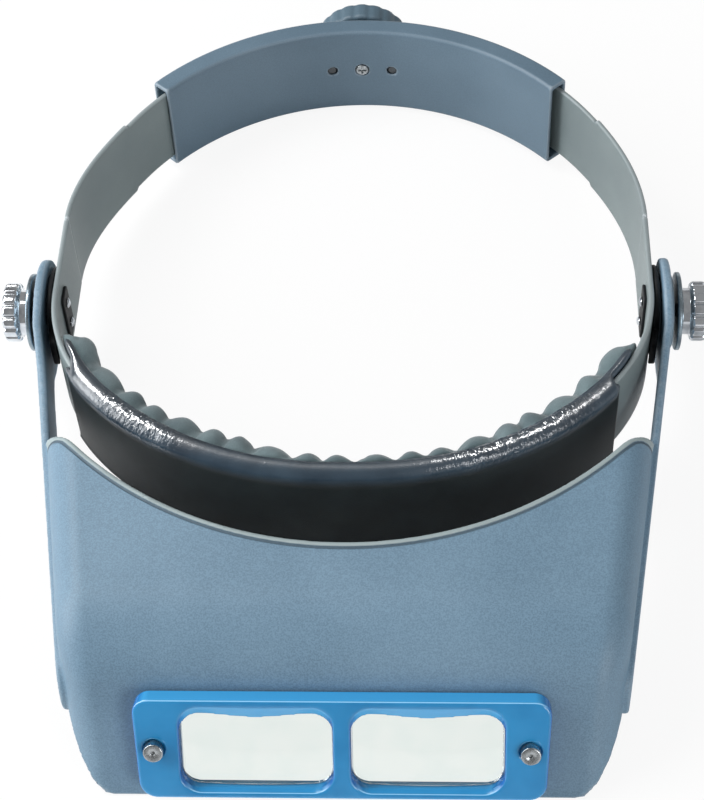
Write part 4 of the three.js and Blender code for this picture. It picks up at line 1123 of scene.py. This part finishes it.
PUFF_FRAMES, PUFF_PRESSURE, PUFF_CAP = 20, 4.0, 1.1
PUFF_SCALE = 0.01  # millimetres to simulated metres: ten times life size


def puffed(points, faces, held):
    """Inflates a closed mesh by cloth simulation and returns its new points."""
    mesh = bpy.data.meshes.new("puff")
    mesh.from_pydata((points * PUFF_SCALE).tolist(), [], faces.tolist())
    obj = bpy.data.objects.new("puff", mesh)
    bpy.context.scene.collection.objects.link(obj)
    group = obj.vertex_groups.new(name="held")
    group.add(np.nonzero(held)[0].tolist(), 1.0, "REPLACE")
    cloth = obj.modifiers.new("cloth", "CLOTH")
    fabric = cloth.settings
    fabric.quality = 6
    fabric.mass = 0.25
    fabric.tension_stiffness = 8
    fabric.compression_stiffness = 8
    fabric.shear_stiffness = 4
    fabric.bending_stiffness = 0.15
    fabric.shrink_min = -0.06
    fabric.use_pressure = True
    fabric.uniform_pressure_force = PUFF_PRESSURE
    fabric.vertex_group_mass = "held"
    fabric.effector_weights.gravity = 0
    cloth.collision_settings.use_collision = False
    scene = bpy.context.scene
    for number in range(1, PUFF_FRAMES + 1):
        scene.frame_set(number)
    shown = obj.evaluated_get(bpy.context.evaluated_depsgraph_get())
    moved = np.empty(len(points) * 3)
    shown.data.vertices.foreach_get("co", moved)
    scene.frame_set(1)
    bpy.data.objects.remove(obj)
    shift = moved.reshape(-1, 3) / PUFF_SCALE - points
    far = np.maximum(length(*shift.T), 1e-9)[:, None]
    return points + shift * np.minimum(1, PUFF_CAP / far)


def make_pad():
    low = [PAD_LEFT, PAD_BACK - 10.0, PAD_BOTTOM]
    high = [PAD_RIGHT, PAD_BACK, PAD_TOP]
    points, faces = surface(pad_field, low, high, 1.1)
    held = points[:, 1] > PAD_BACK - 0.7  # sewn to the strap along its back
    wrapped, faces = on_brow(points, faces)
    wrapped = puffed(wrapped, faces, held)
    pad = piece("sweatband_pad_fine", (wrapped, faces), "headband", "pad", PAD, "sweatband_pad")
    finer = pad.modifiers.new("finer", "SUBSURF")
    finer.levels = finer.render_levels = 1


make_pad()

# ---- parts kept as they are

for node, material in (("adjuster_pinion", RESIN), ("guide_pin_left", RUBBER), ("guide_pin_right", RUBBER)):
    kept = frame["nodes"][node].data
    kept.materials.clear()
    kept.materials.append(material)

# ---- stage, light and camera

def area_light(name, place, target, size, power, colour):
    light = bpy.data.lights.new(name, "AREA")
    light.shape = "RECTANGLE"
    light.size, light.size_y = size
    light.energy = power
    light.color = colour
    obj = bpy.data.objects.new(name, light)
    obj.location = place
    obj.rotation_euler = (Vector(target) - Vector(place)).to_track_quat("-Z", "Y").to_euler()
    bpy.context.scene.collection.objects.link(obj)
    return obj


def cover_light(light, state):
    """Keeps a light off the brow cover (EXCLUDE) or on it alone (INCLUDE)."""
    group = bpy.data.collections.new(light.name)
    group.objects.link(cover)
    group.collection_objects[0].light_linking.link_state = state
    light.light_linking.receiver_collection = group


def glint_light(name, place, target, size, power):
    """A light placed in the headband frame that shows only as a reflection in the brow cover."""
    light = area_light(name, in_row(place), in_row(target), size, power, (1.0, 1.0, 1.0))
    light.visible_diffuse = False
    cover_light(light, "INCLUDE")


def paper_floor():
    """Pale floor that the camera sees as nearly white, with a faint contact shadow."""
    shader = Shader("floor_paper", Roughness=0.9)
    shader.set({"Base Color": (0.9, 0.9, 0.9, 1)})
    tree = shader.tree
    seen = shader.node("ShaderNodeLightPath").outputs["Is Camera Ray"]
    glow = shader.node("ShaderNodeEmission", {"Color": (1, 1, 1, 1), "Strength": 1.0}).outputs[0]
    share = shader.times(seen, 0.9)
    mixed = shader.node("ShaderNodeMixShader", {0: share, 1: shader.main.outputs[0], 2: glow}).outputs[0]
    tree.links.new(mixed, tree.nodes["Material Output"].inputs["Surface"])
    return shader.material


FLOOR_Z = -0.0007  # just below the lowest rounding of the fine hood
floor_mesh = bpy.data.meshes.new("floor")
floor_corners = [(-4, -4, 0), (4, -4, 0), (4, 4, 0), (-4, 4, 0)]
floor_mesh.from_pydata(floor_corners, [], [(0, 1, 2, 3)])
floor_mesh.materials.append(paper_floor())
floor = bpy.data.objects.new("floor", floor_mesh)
floor.location.z = FLOOR_Z
bpy.context.scene.collection.objects.link(floor)

world = bpy.data.worlds.new("studio")
bpy.context.scene.world = world
world.use_nodes = True
background = world.node_tree.nodes["Background"]
background.inputs["Color"].default_value = (1.0, 1.0, 1.0, 1.0)
background.inputs["Strength"].default_value = 0.3

# place and aim in row metres, width and height in metres, watts, colour, and whether it lights the cover
STUDIO = {
    "left_high": ((-0.42, 0.2, 0.64), (0, 0, 0), (0.26, 0.4), 3.4, (1.0, 0.99, 0.98), False),
    "right_high": ((0.5, 0.3, 0.82), (0, 0, 0), (0.26, 0.4), 0.4, (1.0, 0.99, 0.98), False),
    "left_low": ((-0.8, -0.1, 0.4), (0, 0, 0.03), (0.35, 0.8), 6.6, (0.96, 0.98, 1.0), True),
    "front_right": ((0.6, -0.8, 0.35), (0, -0.1, 0.02), (0.4, 0.4), 3.8, (0.97, 0.98, 1.0), True),
}
for name, (*settings, on_cover) in STUDIO.items():
    studio_light = area_light(name, *settings)
    if not on_cover:
        cover_light(studio_light, "EXCLUDE")
glint_light("left_glint", [-540.0, 307.0, 700.0], [-72.0, -35.0, 16.0], (0.3, 0.36), 26.0)
glint_light("right_glint", [372.0, 122.0, 835.0], [48.0, -58.0, 16.0], (0.2, 0.26), 16.0)

CAMERA_PLACE = np.array([25.9, -380.906, 436.279])
CAMERA_DROP = math.radians(51.4)
CAMERA_PAN = math.radians(2.6)
CAMERA_LENS_MM = 90.2
level_look = np.array([0.0, math.cos(CAMERA_DROP), -math.sin(CAMERA_DROP)])
look = level_look * math.cos(CAMERA_PAN) - np.array([math.sin(CAMERA_PAN), 0.0, 0.0])
head_up = np.array([0.0, math.sin(CAMERA_DROP), math.cos(CAMERA_DROP)])
camera_data = bpy.data.cameras.new("camera")
camera_data.lens = CAMERA_LENS_MM
camera_data.sensor_width = 36.0
camera_data.clip_start, camera_data.clip_end = 0.01, 20.0
camera = bpy.data.objects.new("camera", camera_data)
ahead = Vector(look @ AXES)
above = Vector(head_up @ AXES)
turned = Matrix((ahead.cross(above), above, -ahead)).transposed().to_4x4()
turned.translation = Vector(in_row(CAMERA_PLACE))
camera.matrix_world = turned
bpy.context.scene.collection.objects.link(camera)
bpy.context.scene.camera = camera
bpy.context.scene.view_settings.view_transform = "Standard"
bpy.context.scene.view_settings.look = "None"
